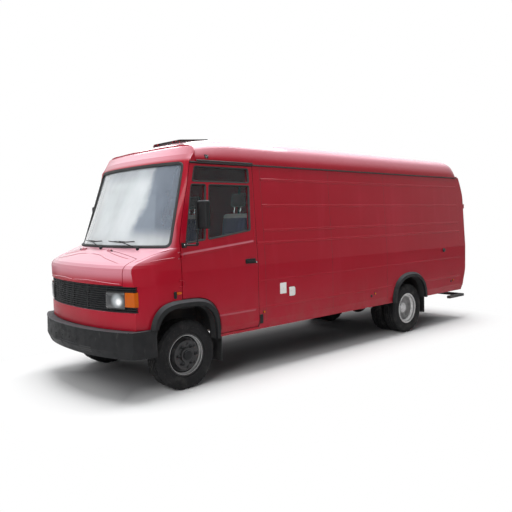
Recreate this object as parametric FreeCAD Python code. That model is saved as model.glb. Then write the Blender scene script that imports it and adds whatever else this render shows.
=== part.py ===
"""Long-wheelbase panel van with a high roof, as separate solids, one STEP file a node.

Millimetres. X points to the vehicle's left, Y to its rear, Z up. The pieces are drawn with
Y measured from the front axle and shifted on export, so that the origin lies on the ground
under the middle of the whole vehicle.
"""
import FreeCAD, Part
import math
import os

V = FreeCAD.Vector
X_AXIS = V(1, 0, 0)
Y_AXIS = V(0, 1, 0)
Z_AXIS = V(0, 0, 1)

# Whole vehicle
wheelbase = 4250
front_overhang = 950
rear_overhang = 1790
tail_y = wheelbase + rear_overhang
overrun = 50
seat_gap = 0.3
panel_gap = 8

# Body shell, outside
body_half_width = 1064
sill_z = 530
sill_tuck = 26
sill_knee_z = 640
waist_z = 1300
drip_z = 2488
drip_half_width = 983
side_wall_t = 56
roof_wall_t = 32
shell_t = 40

# Heights of the nose and cab sections
valance_z = 768
grille_low_z = 925
grille_high_z = 1190
bonnet_edge_z = 1393
bonnet_round_drop = 60
bonnet_round_rise = 32
bonnet_round_steps = 3
scuttle_z = 1562
header_z = 2472
cap_mid_z = 2570
cap_high_z = 2660

# Plan of the nose: depth ahead of the front axle at the middle and the corner
nose_bottom_reach = 820
nose_bottom_corner_x = 985
nose_bottom_corner_reach = 640
nose_low_reach = 846
nose_low_corner_x = 1004
nose_low_corner_reach = 640
nose_high_reach = 836
nose_high_corner_x = 996
nose_high_corner_reach = 646
nose_edge_reach = 800
nose_edge_corner_x = 969
nose_edge_corner_reach = 664
nose_base_reach = 490
nose_base_corner_x = 1008
nose_base_corner_reach = 201
fender_full_reach = 100

# Plan of the cab above the scuttle, y from the front axle
head_middle_y = -50
head_corner_x = 909
head_corner_y = 73
head_full_y = 86
cap_mid_middle_y = 6
cap_mid_corner_x = 900
cap_mid_corner_y = 112
cap_high_middle_y = 100
cap_high_corner_x = 880
cap_high_corner_y = 160
cap_top_middle_y = 196
cap_top_corner_x = 850
cap_top_corner_y = 224

# Cab door
door_rear_y = 985
door_bottom_z = 573
door_top_z = 2462
door_t = 58
door_glass_t = 6
door_foot_y = -103
door_knee_y = -98
door_knee_z = 1640
door_bend_y = -78
door_bend_z = 1748
door_neck_y = 41
door_neck_z = 2225
door_head_y = 92

# Wheels and tyres
tyre_radius = 383
tyre_section = 215
tread_width = 182
bead_radius = 226
rim_radius = 235
rim_seat_radius = 221
front_tyre_face_x = 966
rear_tyre_face_x = 1000
twin_spacing = 252
kingpin_x = 725
hub_radius = 82
drum_width = 92

# Wheel arches
front_arch_top_z = 937
arch_flare_width = 74
arch_flare_out = 39
rear_arch_centre_y = wheelbase - 44
rear_arch_top_z = 893
rear_house_inner_x = 470
front_house_inner_x = 500
house_sheet_t = 20

# Floor
floor_top_z = 880
floor_t = 30
cab_floor_gap = 6

# Chassis
rail_outer_x = 432
rail_web_t = 60
rail_top_z = 800
rail_depth = 170
rail_front_y = -700
rail_rear_y = tail_y - 220

front_axle_y = -(front_overhang + wheelbase + rear_overhang) / 2 + front_overhang

# Details of the shell
screen_low_z = 1574
screen_low_half_width = 1000
screen_high_half_width = 903
screen_glass_t = 6
screen_glass_inset = 14
cap_seam_y = 168
roof_crown_z = 2828
roof_front_y = 172
roof_full_y = 800
roof_tail_y = tail_y - 740
roof_rear_y = tail_y - 206
bonnet_half_width = 872
bonnet_rear_y = -520
bonnet_hinge_z = 1542
grille_inset = 8
grille_depth = 26
grille_back_t = 10
slat_pitch = 24
slat_t = 11
lamp_inner_x = 648
lamp_outer_x = 892
lamp_low_z = 962
lamp_high_z = 1132
lamp_out = 4
lamp_depth = 62
indicator_inner_x = 898
indicator_rear_y = -606
indicator_low_z = 985

# Share tables: how the roof section rises, and how it fades in front and behind
roof_section_shares = [
    (1.0, 0.0, 0.0),
    (0.993, 0.17, 0.18),
    (0.966, 0.33, 0.41),
    (0.921, 0.49, 0.63),
    (0.865, 0.56, 0.75),
    (0.712, 0.60, 0.868),
    (0.356, 0.63, 0.965),
    (0.0, 0.63, 1.0),
]
roof_front_shares = (0, 0.1, 0.2, 0.32, 0.46, 0.62, 0.8, 1)
roof_front_power = 1.9
roof_rear_shares = (0, 0.42, 0.6, 0.72, 0.8, 0.87, 0.92, 0.96, 0.985, 0.998)
roof_rear_power = 6
roof_rear_narrow_share = 0.05

# Shape of the wheel arches
front_arch_centre_y = -75
front_arch_front_reach = 372
front_arch_rear_reach = 405
front_arch_power = 3.1
rear_arch_front_reach = 400
rear_arch_rear_reach = 402
rear_arch_power = 2.35
arch_taper = 30

# Bonnet and scuttle
valance_low_z = 742
bonnet_hinge_x = 300
screen_corner = 60

# Roof, rear frame and sliding door
cap_mid_full_y = 150
cap_high_full_y = 196
cap_top_z = 2700
cap_top_full_y = 250

# Load body
rear_post_y = tail_y - 270
rear_face_y = tail_y - 47
rear_tuck = 157
rear_corner_r = 42
rear_door_low_z = 862
rear_door_high_z = 2436
rear_door_low_half = 985
rear_door_high_half = 912
rear_door_t = 50
rear_meeting_gap = 5
rear_panel_t = 46
rear_hinge_x = 1004
rear_hinge_out = 11
rear_profile_shares = [
    (0.0, 0.88), (0.117, 0.484), (0.17, 0.26), (0.351, 0.16), (0.577, 0.0), (0.757, 0.064), (0.892, 0.42),
    (1.0, 1.0),
]
rear_window_inner_x = 200
rear_window_outer_x = 760
rear_window_low_z = 1620
rear_window_high_z = 2160
rear_window_r = 70
rear_glass_t = 5
sliding_front_y = 1116
sliding_rear_y = 2336
sliding_low_z = 604
sliding_high_z = 2384
rib_out = 5
rib_half = 15
rib_front_y = 1115
rib_rear_y = rear_post_y - 48
rib_heights = (2318, 2007, 1710)
waist_rib_z = 1562
overlap_seam_z = 1112
rub_crease_z = 790
rub_front_y = 996
drip_rail_out = 16
drip_rail_h = 14

# Roof hatch
hatch_front_y = 450
hatch_rear_y = 890
hatch_half = 295
hatch_rim = 42
hatch_hole_half = 253
hatch_front_z = 2804
hatch_rear_z = 2840
hatch_lid_t = 16
hatch_corner_r = 24
hatch_gap = 0.3
hatch_hinge_x = 200
hatch_hinge_out = 8
hatch_hinge_up = 9
hatch_hinge_web = 9
hatch_barrel_r = 6
hatch_pin_r = 3
sliding_gap = 5
rear_hinge_zs = (1240, 1620, 1990)
strap_length = 130

# Cab door panes and furniture
transom_front_y = 106
transom_front_top_y = 150
transom_rear_y = 928
transom_low_z = 2268
transom_high_z = 2436
pane_top_z = 2240
quarter_front_top_y = 92
quarter_rear_top_y = 292
quarter_rear_low_y = 236
quarter_front_low_y = -30
pane_front_low_z = 1600
divider_w = 40
pane_rear_top_y = 926
pane_rear_low_y = 902
pane_rear_low_z = 1714
pane_front_mid_z = 1632
pane_r = 26
door_glass_inset = 26
cab_hinge_x = 1072
cab_hinge_y = -96

# Cab door hinges and crease
cab_hinge_zs = (1180, 1480)
hinge_half_h = 26
hinge_barrel_r = 7
hinge_pin_r = 4
hinge_web = 20
hinge_ear_t = 11
hinge_stand = 1.5
hinge_room = 1
door_crease_front_y = -76
door_crease_front_z = 1470
door_crease_rear_y = 930
door_crease_rear_z = 1578

# Mirrors
mirror_x = 1202
mirror_y = 96
mirror_low_z = 1757
mirror_high_z = 2056
mirror_half_w = 86
mirror_half_t = 34
mirror_r = 24
mirror_arm_r = 11
mirror_rod_y = 40
mirror_foot_y = -62
mirror_foot_z = 1585
mirror_foot_size = 26

# Underbody
cross_member_w = 80
cross_member_low_z = 668
cross_member_high_z = 760
cross_member_ys = (-640, 800, 1650, 2600, wheelbase - 750, wheelbase + 610, rail_rear_y - 120)
spring_w = 66
front_spring_half = 560
rear_spring_half = 700
leaf_t = 12
leaf_count = 4
leaf_step = 120
front_spring_rise = 128
rear_spring_rise = 104
eye_r = 24
front_seat_z = 442
rear_seat_z = 490
hanger_half = 44
beam_half_w = 36
beam_drop = 20
beam_h = 74
boss_r = 50
boss_low_z = 350
boss_high_z = 416
pin_r = 25
pin_gap = 0.3
yoke_t = 24
yoke_out_x = 796
yoke_web_t = 16
yoke_half_w = 40
spindle_r = 30
spindle_end_x = 900
plate_r = 142
plate_t = 6
arm_reach = 200
arm_half_w = 16
arm_t = 20
arm_pin_r = 10
track_rod_r = 15
track_rod_z = 292
rod_end_r = 18
rear_tube_r = 58
rear_tube_end_x = 884
diff_r = 168
diff_nose = 235
prop_r = 38
engine_half_w = 262
engine_front_y = -590
engine_rear_y = 180
engine_low_z = 505
engine_high_z = 1205
mount_front_y = -210
mount_w = 70
gearbox_r = 132
gearbox_rear_y = 700
gearbox_z = 610
tank_front_y = 1320
tank_rear_y = 2380
tank_outer_x = 905
tank_low_z = 520
tank_high_z = 790
tank_r = 40
pipe_r = 28
pipe_z = 530
silencer_r = 104
silencer_z = 600
silencer_x = 560
silencer_front_y = 1440
silencer_rear_y = 2160
pipe_bend_y = 620
pipe_out_y = wheelbase - 950
pipe_end_x = 985
hanger_rod_r = 8
house_reach = 464
house_top_z = 950
house_power = 4.2
rear_house_reach = 432
house_foot_z = 566
lash_x = 700
lash_front_y = 1250
lash_rear_y = wheelbase - 1000
lash_hole_r = 6.5
firewall_y = -350
firewall_t = 20
firewall_top_z = 1528
tunnel_t = 22
tunnel_gap = 22
flap_t = 7
front_flap_low_z = 226
front_flap_inner_x = 748
rear_flap_y = wheelbase + 510
rear_flap_inset = 26
rear_flap_low_z = 250
step_depth = 68
step_y = tail_y - step_depth
step_low_z = 392
step_h = 44
step_half = 1000
step_sill_gap = 12
step_return_w = 58
step_return_y = tail_y - 490
bumper_low_z = 455
bumper_kink_z = 540
bumper_high_z = 738
bumper_wall = 88
bumper_end_y = -433
bumper_bottom_reach = 902
bumper_mid_reach = front_overhang
bumper_top_reach = 936
bumper_corner_x = 1040
bumper_corner_reach = 700
bumper_full_reach = 560

# Rims
rim_half = 92
rim_lip_t = 8
rim_t = 7
rim_well_r = 196
rim_slope = 24
disc_t = 9
disc_face = 102
disc_shoulder_r = 152
disc_root = 34
disc_hole_r = 17
disc_hole_circle_r = 128
disc_hole_count = 8
hub_cap_out = 20
hub_wall = 38
front_drum_x = 808

# Plate recess of the bumper
plate_half_w = 297
plate_depth = 12
plate_low_z = 556
plate_high_z = 660

# Cab furniture
dash_front_y = firewall_y + firewall_t
dash_rear_y = 10
dash_low_z = 1282
dash_high_z = 1500
dash_half_w = 985
binnacle_half_w = 190
binnacle_h = 72
driver_x = 620
wheel_centre_y = 168
wheel_centre_z = 1500
wheel_rim_radius = 225
wheel_rim_r = 15
wheel_tilt = 35
wheel_hub_r = 62
wheel_hub_t = 44
spoke_half_w = 19
spoke_t = 12
column_r = 34
column_length = 760
column_bracket_h = 60
seat_front_y = 448
seat_rear_y = 930
seat_z = 1180
cushion_t = 118
seat_half_w = 245
bench_inner_x = 130
bench_outer_x = 950
back_t = 112
back_high_z = 1950
back_lean = 130
headrest_half_w = 140
headrest_t = 92
headrest_low_z = 1990
headrest_high_z = 2180
headrest_post_r = 7
headrest_post_half = 60
base_inset = 40
soft_gap = 0.4
cushion_r = 28

# Tail lamps
tail_lamp_inner_x = 838
tail_lamp_outer_x = 1006
tail_lamp_low_z = 600
tail_lamp_high_z = 742
tail_lamp_rear_y = rear_face_y - 25

# Shares and angles of repeated shapes
face_shares = (-0.83, -0.5, 0, 0.5, 0.83)
face_power = 2.4
corner_out_share = 0.72
corner_back_share = 0.5
dash_face_share = 0.3
post_lap_share = 0.05
grille_upright_shares = (-1, -0.5, 0, 0.5, 1)
tyre_side_shares = ((0.04, 0.32), (0, 0.5), (0.045, 0.72))
tyre_shoulder_shares = ((0, 0.07), (0.1, 0))
spoke_angles = (0, 90, 180)


def box(x0, x1, y0, y1, z0, z1):
    """Upright block between two corners."""
    return Part.makeBox(x1 - x0, y1 - y0, z1 - z0, V(x0, y0, z0))


def rod(start, end, radius):
    """Round bar from one point to another."""
    run = end.sub(start)
    return Part.makeCylinder(radius, run.Length, start, run)


def ring(start, end, radius, bore):
    """Round sleeve from one point to another."""
    run = end.sub(start)
    outer = Part.makeCylinder(radius, run.Length, start, run)
    return outer.cut(Part.makeCylinder(bore, run.Length, start, run))


def ball(centre, radius):
    """Sphere at a point."""
    return Part.makeSphere(radius, centre)


def fuse_all(shapes):
    """One shape from many that touch."""
    whole = shapes[0]
    if len(shapes) > 1:
        whole = whole.fuse(list(shapes[1:]))
    return whole.removeSplitter()


def group(shapes):
    """Solids that stay apart in one node."""
    return Part.makeCompound(shapes)


def mirrored(shape):
    """The same shape on the other side."""
    return shape.mirror(V(0, 0, 0), X_AXIS)


def both(shape):
    """A shape and its mirror image, apart."""
    return [shape, mirrored(shape)]


def plate_x(points, x0, x1):
    """Outline of (y, z) points, thick from x0 to x1."""
    wire = Part.makePolygon([V(x0, y, z) for y, z in points + points[:1]])
    return Part.Face(wire).extrude(V(x1 - x0, 0, 0))


def plate_y(points, y0, y1):
    """Outline of (x, z) points, thick from y0 to y1."""
    wire = Part.makePolygon([V(x, y0, z) for x, z in points + points[:1]])
    return Part.Face(wire).extrude(V(0, y1 - y0, 0))


def turned(points, centre, axis=X_AXIS):
    """Ring turned about an axis from (along, radius) points."""
    across = Z_AXIS
    outline = [centre + axis * along + across * radius for along, radius in points]
    wire = Part.makePolygon(outline + outline[:1])
    return Part.Face(wire).revolve(centre, axis, 360)


def rounded(shape, radius, chosen):
    """Fillet the edges that a test picks."""
    edges = [edge for edge in shape.Edges if chosen(edge)]
    return shape.makeFillet(radius, edges) if edges else shape


def side_x(z):
    """Half width of the outer skin at a height."""
    if z <= waist_z:
        return body_half_width
    share = (z - waist_z) / (drip_z - waist_z)
    return body_half_width + (drip_half_width - body_half_width) * share


def plan_wire(z, middle_y, corner, full_y, inset, rear_y):
    """Closed plan outline of the cab at one height, drawn in by an inset."""
    corner_x, corner_y = corner
    corner_x = corner_x - inset
    corner_y = corner_y + inset
    middle_y = middle_y + inset
    full_y = full_y + inset
    full_x = side_x(z) - inset
    depth = corner_y - middle_y
    front = [V(-corner_x, corner_y, z)]
    for share in face_shares:
        front.append(V(corner_x * share, middle_y + depth * abs(share) ** face_power, z))
    front.append(V(corner_x, corner_y, z))
    face = Part.BSplineCurve()
    face.interpolate(front)
    edges = [face.toShape()]
    bulge_x = corner_x + (full_x - corner_x) * corner_out_share
    bulge_y = corner_y + (full_y - corner_y) * corner_back_share
    left = Part.BSplineCurve()
    left.interpolate([V(corner_x, corner_y, z), V(bulge_x, bulge_y, z), V(full_x, full_y, z)])
    right = Part.BSplineCurve()
    right.interpolate([V(-full_x, full_y, z), V(-bulge_x, bulge_y, z), V(-corner_x, corner_y, z)])
    edges.append(left.toShape())
    edges.append(Part.makeLine(V(full_x, full_y, z), V(full_x, rear_y, z)))
    edges.append(Part.makeLine(V(full_x, rear_y, z), V(-full_x, rear_y, z)))
    edges.append(Part.makeLine(V(-full_x, rear_y, z), V(-full_x, full_y, z)))
    edges.append(right.toShape())
    return Part.Wire(edges)


def stack(levels, inset, rear_y):
    """Ruled solid through plan outlines, from (z, middle_y, corner, full_y) rows."""
    wires = [plan_wire(z, middle, corner, full, inset, rear_y) for z, middle, corner, full in levels]
    return Part.makeLoft(wires, True, True)


def mixed(low, high, share):
    """Plan row between two others."""
    def between(a, b):
        return a + (b - a) * share
    corner = (between(low[2][0], high[2][0]), between(low[2][1], high[2][1]))
    return (between(low[0], high[0]), between(low[1], high[1]), corner, between(low[3], high[3]))


def rounded_rows(low, edge, high):
    """Rows that round over a sharp one between its two neighbours."""
    start = mixed(edge, low, bonnet_round_drop / (edge[0] - low[0]))
    end = mixed(edge, high, bonnet_round_rise / (high[0] - edge[0]))
    rows = []
    for step in range(bonnet_round_steps + 1):
        share = step / bonnet_round_steps
        rows.append(mixed(mixed(start, edge, share), mixed(edge, end, share), share))
    return rows


def nose_levels():
    """Plan rows of the nose from its lower edge to the foot of the windscreen."""
    full = -fender_full_reach
    rows = [
        (sill_z, -nose_bottom_reach, (nose_bottom_corner_x, -nose_bottom_corner_reach), full),
        (valance_z, -nose_low_reach, (nose_low_corner_x, -nose_low_corner_reach), full),
        (grille_low_z, -nose_low_reach, (nose_low_corner_x, -nose_low_corner_reach), full),
        (grille_high_z, -nose_high_reach, (nose_high_corner_x, -nose_high_corner_reach), full),
        (bonnet_edge_z, -nose_edge_reach, (nose_edge_corner_x, -nose_edge_corner_reach), full),
        (scuttle_z, -nose_base_reach, (nose_base_corner_x, -nose_base_corner_reach), full),
    ]
    return rows[:-2] + rounded_rows(*rows[-3:]) + rows[-1:]


def cab_levels():
    """Plan rows from the foot of the windscreen to the drip rail."""
    return [
        (scuttle_z, -nose_base_reach, (nose_base_corner_x, -nose_base_corner_reach), -fender_full_reach),
        (drip_z, head_middle_y, (head_corner_x, head_corner_y), head_full_y),
    ]


def roof_wire(y, rise, height_share, width_share, inset):
    """Closed cross outline of the roof at one station."""
    half = drip_half_width * width_share - inset
    height = (roof_crown_z - drip_z) * height_share
    left = []
    for across, front_share, full_share in roof_section_shares:
        up = front_share + (full_share - front_share) * rise
        left.append((half * across, drip_z + height * up - inset))
    points = [V(-x, y, z) for x, z in left] + [V(x, y, z) for x, z in reversed(left[:-1])]
    crown = Part.BSplineCurve()
    crown.interpolate(points)
    base = Part.makeLine(points[-1], points[0])
    return Part.Wire([crown.toShape(), base])


def roof_solid(inset, front_lead):
    """Roof from the cap's seam to the rear, drawn in by an inset and led on ahead of the seam."""
    wires = []
    if front_lead > 0:
        wires.append(roof_wire(roof_front_y - front_lead, 0, 1, 1, inset))
    for share in roof_front_shares:
        y = roof_front_y + (roof_full_y - roof_front_y) * share
        wires.append(roof_wire(y, 1 - (1 - share) ** roof_front_power, 1, 1, inset))
    for share in roof_rear_shares:
        y = roof_tail_y + (roof_rear_y - inset - roof_tail_y) * share
        fall = share ** roof_rear_power
        wires.append(roof_wire(y, 1, math.sqrt(1 - fall), 1 - roof_rear_narrow_share * fall, inset))
    return Part.makeLoft(wires, True, True)


def arch_wire(x, centre_y, reaches, top_z, power, spread):
    """Closed arch outline in a plane of constant x, over the sill's height."""
    front_reach, rear_reach = reaches
    points = []
    steps = 18
    for step in range(steps + 1):
        angle = math.pi * step / steps
        share_y = abs(math.cos(angle)) ** (2 / power)
        share_z = abs(math.sin(angle)) ** (2 / power)
        reach = front_reach if angle < math.pi / 2 else rear_reach
        side = -1 if angle < math.pi / 2 else 1
        points.append(V(x, centre_y + side * (reach + spread) * share_y,
                        sill_z + (top_z + spread - sill_z) * share_z))
    curve = Part.BSplineCurve()
    curve.interpolate(points)
    foot_z = sill_z - overrun
    first = V(x, points[0].y, foot_z)
    last = V(x, points[-1].y, foot_z)
    edges = [curve.toShape(), Part.makeLine(points[-1], last), Part.makeLine(last, first),
             Part.makeLine(first, points[0])]
    return Part.Wire(edges)


def front_arch(x0, x1, spread):
    """Solid that fills the front arch opening across a span of x."""
    wire = arch_wire(x0, front_arch_centre_y, (front_arch_front_reach, front_arch_rear_reach),
                     front_arch_top_z, front_arch_power, spread)
    return Part.Face(wire).extrude(V(x1 - x0, 0, 0))


def rear_arch(x0, x1, spread):
    """Solid that fills the rear arch opening across a span of x."""
    wire = arch_wire(x0, rear_arch_centre_y, (rear_arch_front_reach, rear_arch_rear_reach),
                     rear_arch_top_z, rear_arch_power, spread)
    return Part.Face(wire).extrude(V(x1 - x0, 0, 0))


def flare(centre_y, reaches, top_z, power):
    """Moulded lip that stands out round one arch."""
    skin = body_half_width
    foot = arch_wire(skin, centre_y, reaches, top_z, power, arch_flare_width)
    crest = arch_wire(skin + arch_flare_out, centre_y, reaches, top_z, power, arch_flare_width - arch_taper)
    body = Part.makeLoft([foot, crest], True, True)
    bore = Part.Face(arch_wire(skin - overrun, centre_y, reaches, top_z, power, 0))
    body = body.cut(bore.extrude(V(overrun + overrun + arch_flare_out, 0, 0)))
    below = box(skin - overrun, skin + overrun + arch_flare_out, centre_y - wheelbase, centre_y + wheelbase,
                0, sill_z)
    return body.cut(below)


def arch_trims():
    """Dark flares round all four arches."""
    front = flare(front_arch_centre_y, (front_arch_front_reach, front_arch_rear_reach),
                  front_arch_top_z, front_arch_power)
    front = front.cut(bumper_space())
    rear = flare(rear_arch_centre_y, (rear_arch_front_reach, rear_arch_rear_reach),
                 rear_arch_top_z, rear_arch_power)
    return group(both(front) + both(rear))


def door_front_outline(margin):
    """Points down the front edge of the door, moved ahead by a margin."""
    return [
        (door_head_y - margin, drip_z),
        (door_neck_y - margin, door_neck_z),
        (door_bend_y - margin, door_bend_z),
        (door_knee_y - margin, door_knee_z),
        (door_foot_y - margin, sill_z),
    ]


def door_zone(margin, top_z, bottom_z):
    """Side view region of the door, grown by a margin."""
    rear = door_rear_y + margin
    points = [(rear, top_z + margin)]
    for y, z in door_front_outline(margin):
        if z < top_z and z > bottom_z:
            points.append((y, z))
        elif z >= top_z:
            points.append((y, top_z + margin))
        else:
            points.append((y, bottom_z - margin))
    points.append((rear, bottom_z - margin))
    return points


def side_slab(y0, y1, z0, z1, wall, inset=0):
    """Left side wall between two stations, leaning in above the waist."""
    skin = [
        (body_half_width - sill_tuck - inset, sill_z),
        (body_half_width - inset, sill_knee_z),
        (body_half_width - inset, waist_z),
        (drip_half_width - inset, drip_z),
    ]
    tuck = 0 if wall > sill_tuck else sill_tuck
    inner = [
        (drip_half_width - inset - wall, drip_z),
        (body_half_width - inset - wall, waist_z),
        (body_half_width - inset - wall, sill_knee_z),
        (body_half_width - inset - wall - tuck, sill_z),
    ]
    slab = plate_y(skin + inner, y0, y1)
    return slab.common(box(0, body_half_width + overrun, y0, y1, z0, z1))


def nose_shell():
    """Hollow nose below the windscreen, all round and open to the cab."""
    rear = door_rear_y
    outer = stack(nose_levels(), 0, rear)
    inner = stack(nose_levels(), shell_t, rear + overrun)
    return outer.cut(inner)


def cab_shell():
    """Hollow front of the cab from the scuttle to the drip rail."""
    rear = door_rear_y
    outer = stack(cab_levels(), 0, rear)
    inner = stack(cab_levels(), shell_t, rear + overrun)
    return outer.cut(inner)


def bonnet_zone(gap):
    """Region of the bonnet, shrunk by a gap."""
    half = bonnet_half_width - gap
    deep = -front_overhang
    return box(-half, half, deep, bonnet_rear_y - gap, grille_high_z + gap, scuttle_z + overrun)


def face_band(outer_inset, inner_inset, z0, z1, half):
    """Curved band of the nose front between two insets, heights and widths."""
    outer = stack(nose_levels(), outer_inset, 0)
    inner = stack(nose_levels(), inner_inset, overrun)
    band = outer.cut(inner)
    return band.common(box(-half, half, -front_overhang, indicator_rear_y, z0, z1))


def nose():
    """Fenders and front panel in one fixed pressing."""
    shell = nose_shell()
    shell = shell.cut(bonnet_zone(0))
    opening = box(-body_half_width, body_half_width, -front_overhang, indicator_rear_y,
                  grille_low_z, grille_high_z)
    shell = shell.cut(opening)
    shell = shell.cut(box(-body_half_width, body_half_width, -front_overhang, door_rear_y, 0, valance_low_z))
    reach = body_half_width + overrun
    for sign in (-1, 1):
        side = front_arch(0, reach, 0)
        side = side if sign > 0 else mirrored(side)
        shell = shell.cut(side)
    zone = plate_x(door_zone(panel_gap, drip_z, sill_z - overrun), -reach, reach)
    shell = shell.cut(zone)
    barrel_room = bonnet_hinge_line(bonnet_hinge_x - hinge_half_h - pin_gap,
                                    bonnet_hinge_x + hinge_half_h + pin_gap,
                                    hinge_barrel_r + hinge_room)
    shell = shell.cut(both(barrel_room))
    ears = []
    for ear in cab_hinge_ears() + bonnet_hinge_ears():
        ears += both(ear)
    return fuse_all([shell] + ears)


def bonnet_hinge_line(x0, x1, radius):
    """Round bar on the bonnet's hinge axis."""
    return rod(V(x0, bonnet_rear_y - panel_gap / 2, bonnet_hinge_z), V(x1,
                                                                       bonnet_rear_y - panel_gap / 2,
                                                                       bonnet_hinge_z),
               radius)


def bonnet_hinge_ears():
    """Hinge ears and pin on the scuttle for the left side of the bonnet."""
    inner = bonnet_hinge_x - hinge_half_h - pin_gap
    outer = bonnet_hinge_x + hinge_half_h + pin_gap
    y = bonnet_rear_y - panel_gap / 2
    parts = [bonnet_hinge_line(inner - hinge_ear_t, outer + hinge_ear_t, hinge_pin_r)]
    for x0, x1 in ((inner - hinge_ear_t, inner), (outer, outer + hinge_ear_t)):
        parts.append(bonnet_hinge_line(x0, x1, hinge_barrel_r))
        parts.append(box(x0, x1, y, bonnet_rear_y + hinge_web, bonnet_hinge_z - hinge_web, bonnet_hinge_z))
    return parts


def bonnet_hinge_barrel():
    """Hinge barrel on the left rear edge of the bonnet."""
    x0 = bonnet_hinge_x - hinge_half_h
    x1 = bonnet_hinge_x + hinge_half_h
    y = bonnet_rear_y - panel_gap / 2
    web = box(x0, x1, y - hinge_web, y, bonnet_hinge_z - hinge_web - hinge_web / 2, bonnet_hinge_z)
    bore = bonnet_hinge_line(x0, x1, hinge_pin_r + pin_gap)
    return bonnet_hinge_line(x0, x1, hinge_barrel_r).fuse(web).cut(bore)


def bonnet():
    """Short sloping lid with its front lip, hinged at the scuttle."""
    lid = nose_shell().common(bonnet_zone(panel_gap))
    reach = hinge_half_h + hinge_ear_t + hinge_room
    ear_room = bonnet_hinge_line(bonnet_hinge_x - reach, bonnet_hinge_x + reach, hinge_barrel_r + hinge_room)
    return fuse_all([lid.cut(both(ear_room))] + both(bonnet_hinge_barrel()))


def screen_zone(margin):
    """Windscreen region: tapered, widest at the foot."""
    low = screen_low_half_width - margin
    high = screen_high_half_width - margin
    z0 = screen_low_z + margin
    z1 = header_z - margin
    outline = [(-low, z0), (low, z0), (high, z1), (-high, z1)]
    rear_y = head_corner_y + shell_t
    solid = plate_y(outline, -front_overhang, rear_y)
    return rounded(solid, screen_corner, lambda edge: abs(edge.Length - front_overhang - rear_y) < 1)


def cab_frame():
    """Windscreen pillars and header, cant rails over the doors and the arch rings behind them."""
    shell = cab_shell().cut(screen_zone(0))
    reach = body_half_width + overrun
    zone = plate_x(door_zone(panel_gap, door_top_z, sill_z - overrun), -reach, reach)
    shell = shell.cut(zone)
    rails = []
    for side in both(side_slab(head_full_y, door_rear_y + panel_gap, door_top_z + panel_gap, drip_z, door_t)):
        rails.append(side)
    return fuse_all([shell] + rails)


def arch_panels():
    """Fixed side sheet between arch and door on both sides, with the sill under the door."""
    skin = body_half_width
    sheet = side_slab(-front_arch_front_reach, door_rear_y + panel_gap, sill_z, drip_z,
                      door_t + cab_floor_gap)
    zone = plate_x(door_zone(panel_gap, drip_z, sill_z - overrun), 0, skin + overrun)
    sheet = sheet.common(zone)
    ring = sheet.common(front_arch(0, skin + overrun, arch_flare_width))
    sill = sheet.common(box(0, skin + overrun, 0, door_rear_y + panel_gap, sill_z, door_bottom_z - panel_gap))
    whole = fuse_all([ring, sill]).cut(front_arch(0, skin + overrun, 0))
    return group(both(whole))


def windscreen():
    """Curved laminated glass."""
    outer = stack(cab_levels(), screen_glass_inset, door_rear_y)
    inner = stack(cab_levels(), screen_glass_inset + screen_glass_t, door_rear_y + overrun)
    return outer.cut(inner).common(screen_zone(seat_gap))


def roof_cap():
    """Front of the roof, sloping up from the windscreen header."""
    outer = stack(cap_levels(), 0, roof_full_y)
    inner = stack(cap_levels(), roof_wall_t, roof_full_y + overrun)
    reach = body_half_width
    return outer.cut(inner).common(box(-reach, reach, -front_overhang, cap_seam_y, drip_z, roof_crown_z))


def cap_levels():
    """Plan rows of the roof cap."""
    return [
        (drip_z, head_middle_y, (head_corner_x, head_corner_y), head_full_y),
        (cap_mid_z, cap_mid_middle_y, (cap_mid_corner_x, cap_mid_corner_y), cap_mid_full_y),
        (cap_high_z, cap_high_middle_y, (cap_high_corner_x, cap_high_corner_y), cap_high_full_y),
        (cap_top_z, cap_top_middle_y, (cap_top_corner_x, cap_top_corner_y), cap_top_full_y),
    ]


def roof():
    """Main roof panel, closed behind, with the drip rails along both sides."""
    outer = roof_solid(0, 0)
    shell = outer.cut(roof_solid(roof_wall_t, overrun))
    shell = shell.cut(hatch_hole())
    rim = roof_hatch_rim()
    return fuse_all([shell, rim] + both(drip_rail()) + both(hatch_ears()))


def drip_rail():
    """Gutter strip along the left edge of the roof."""
    x = drip_half_width
    outline = [(x - drip_rail_out, drip_z), (x + drip_rail_out, drip_z), (x + drip_rail_out,
                                                                          drip_z + drip_rail_h),
               (x, drip_z + drip_rail_h), (x - drip_rail_out, drip_z + drip_rail_h / 2)]
    return plate_y(outline, roof_front_y, rear_post_y)


def hatch_hole():
    """Opening in the roof under the hatch."""
    return box(-hatch_hole_half, hatch_hole_half, hatch_front_y + hatch_rim, hatch_rear_y - hatch_rim,
               drip_z, roof_crown_z + overrun)


def hatch_top(y, up):
    """Height of the hatch frame's sloping top at a station, raised by an amount."""
    share = (y - hatch_front_y) / (hatch_rear_y - hatch_front_y)
    return hatch_front_z + (hatch_rear_z - hatch_front_z) * share + up


def hatch_hinge_line(x0, x1, radius):
    """Round bar on the hatch's hinge axis."""
    y = hatch_front_y - hatch_hinge_out
    z = hatch_front_z + hatch_hinge_up
    return rod(V(x0, y, z), V(x1, y, z), radius)


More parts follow.
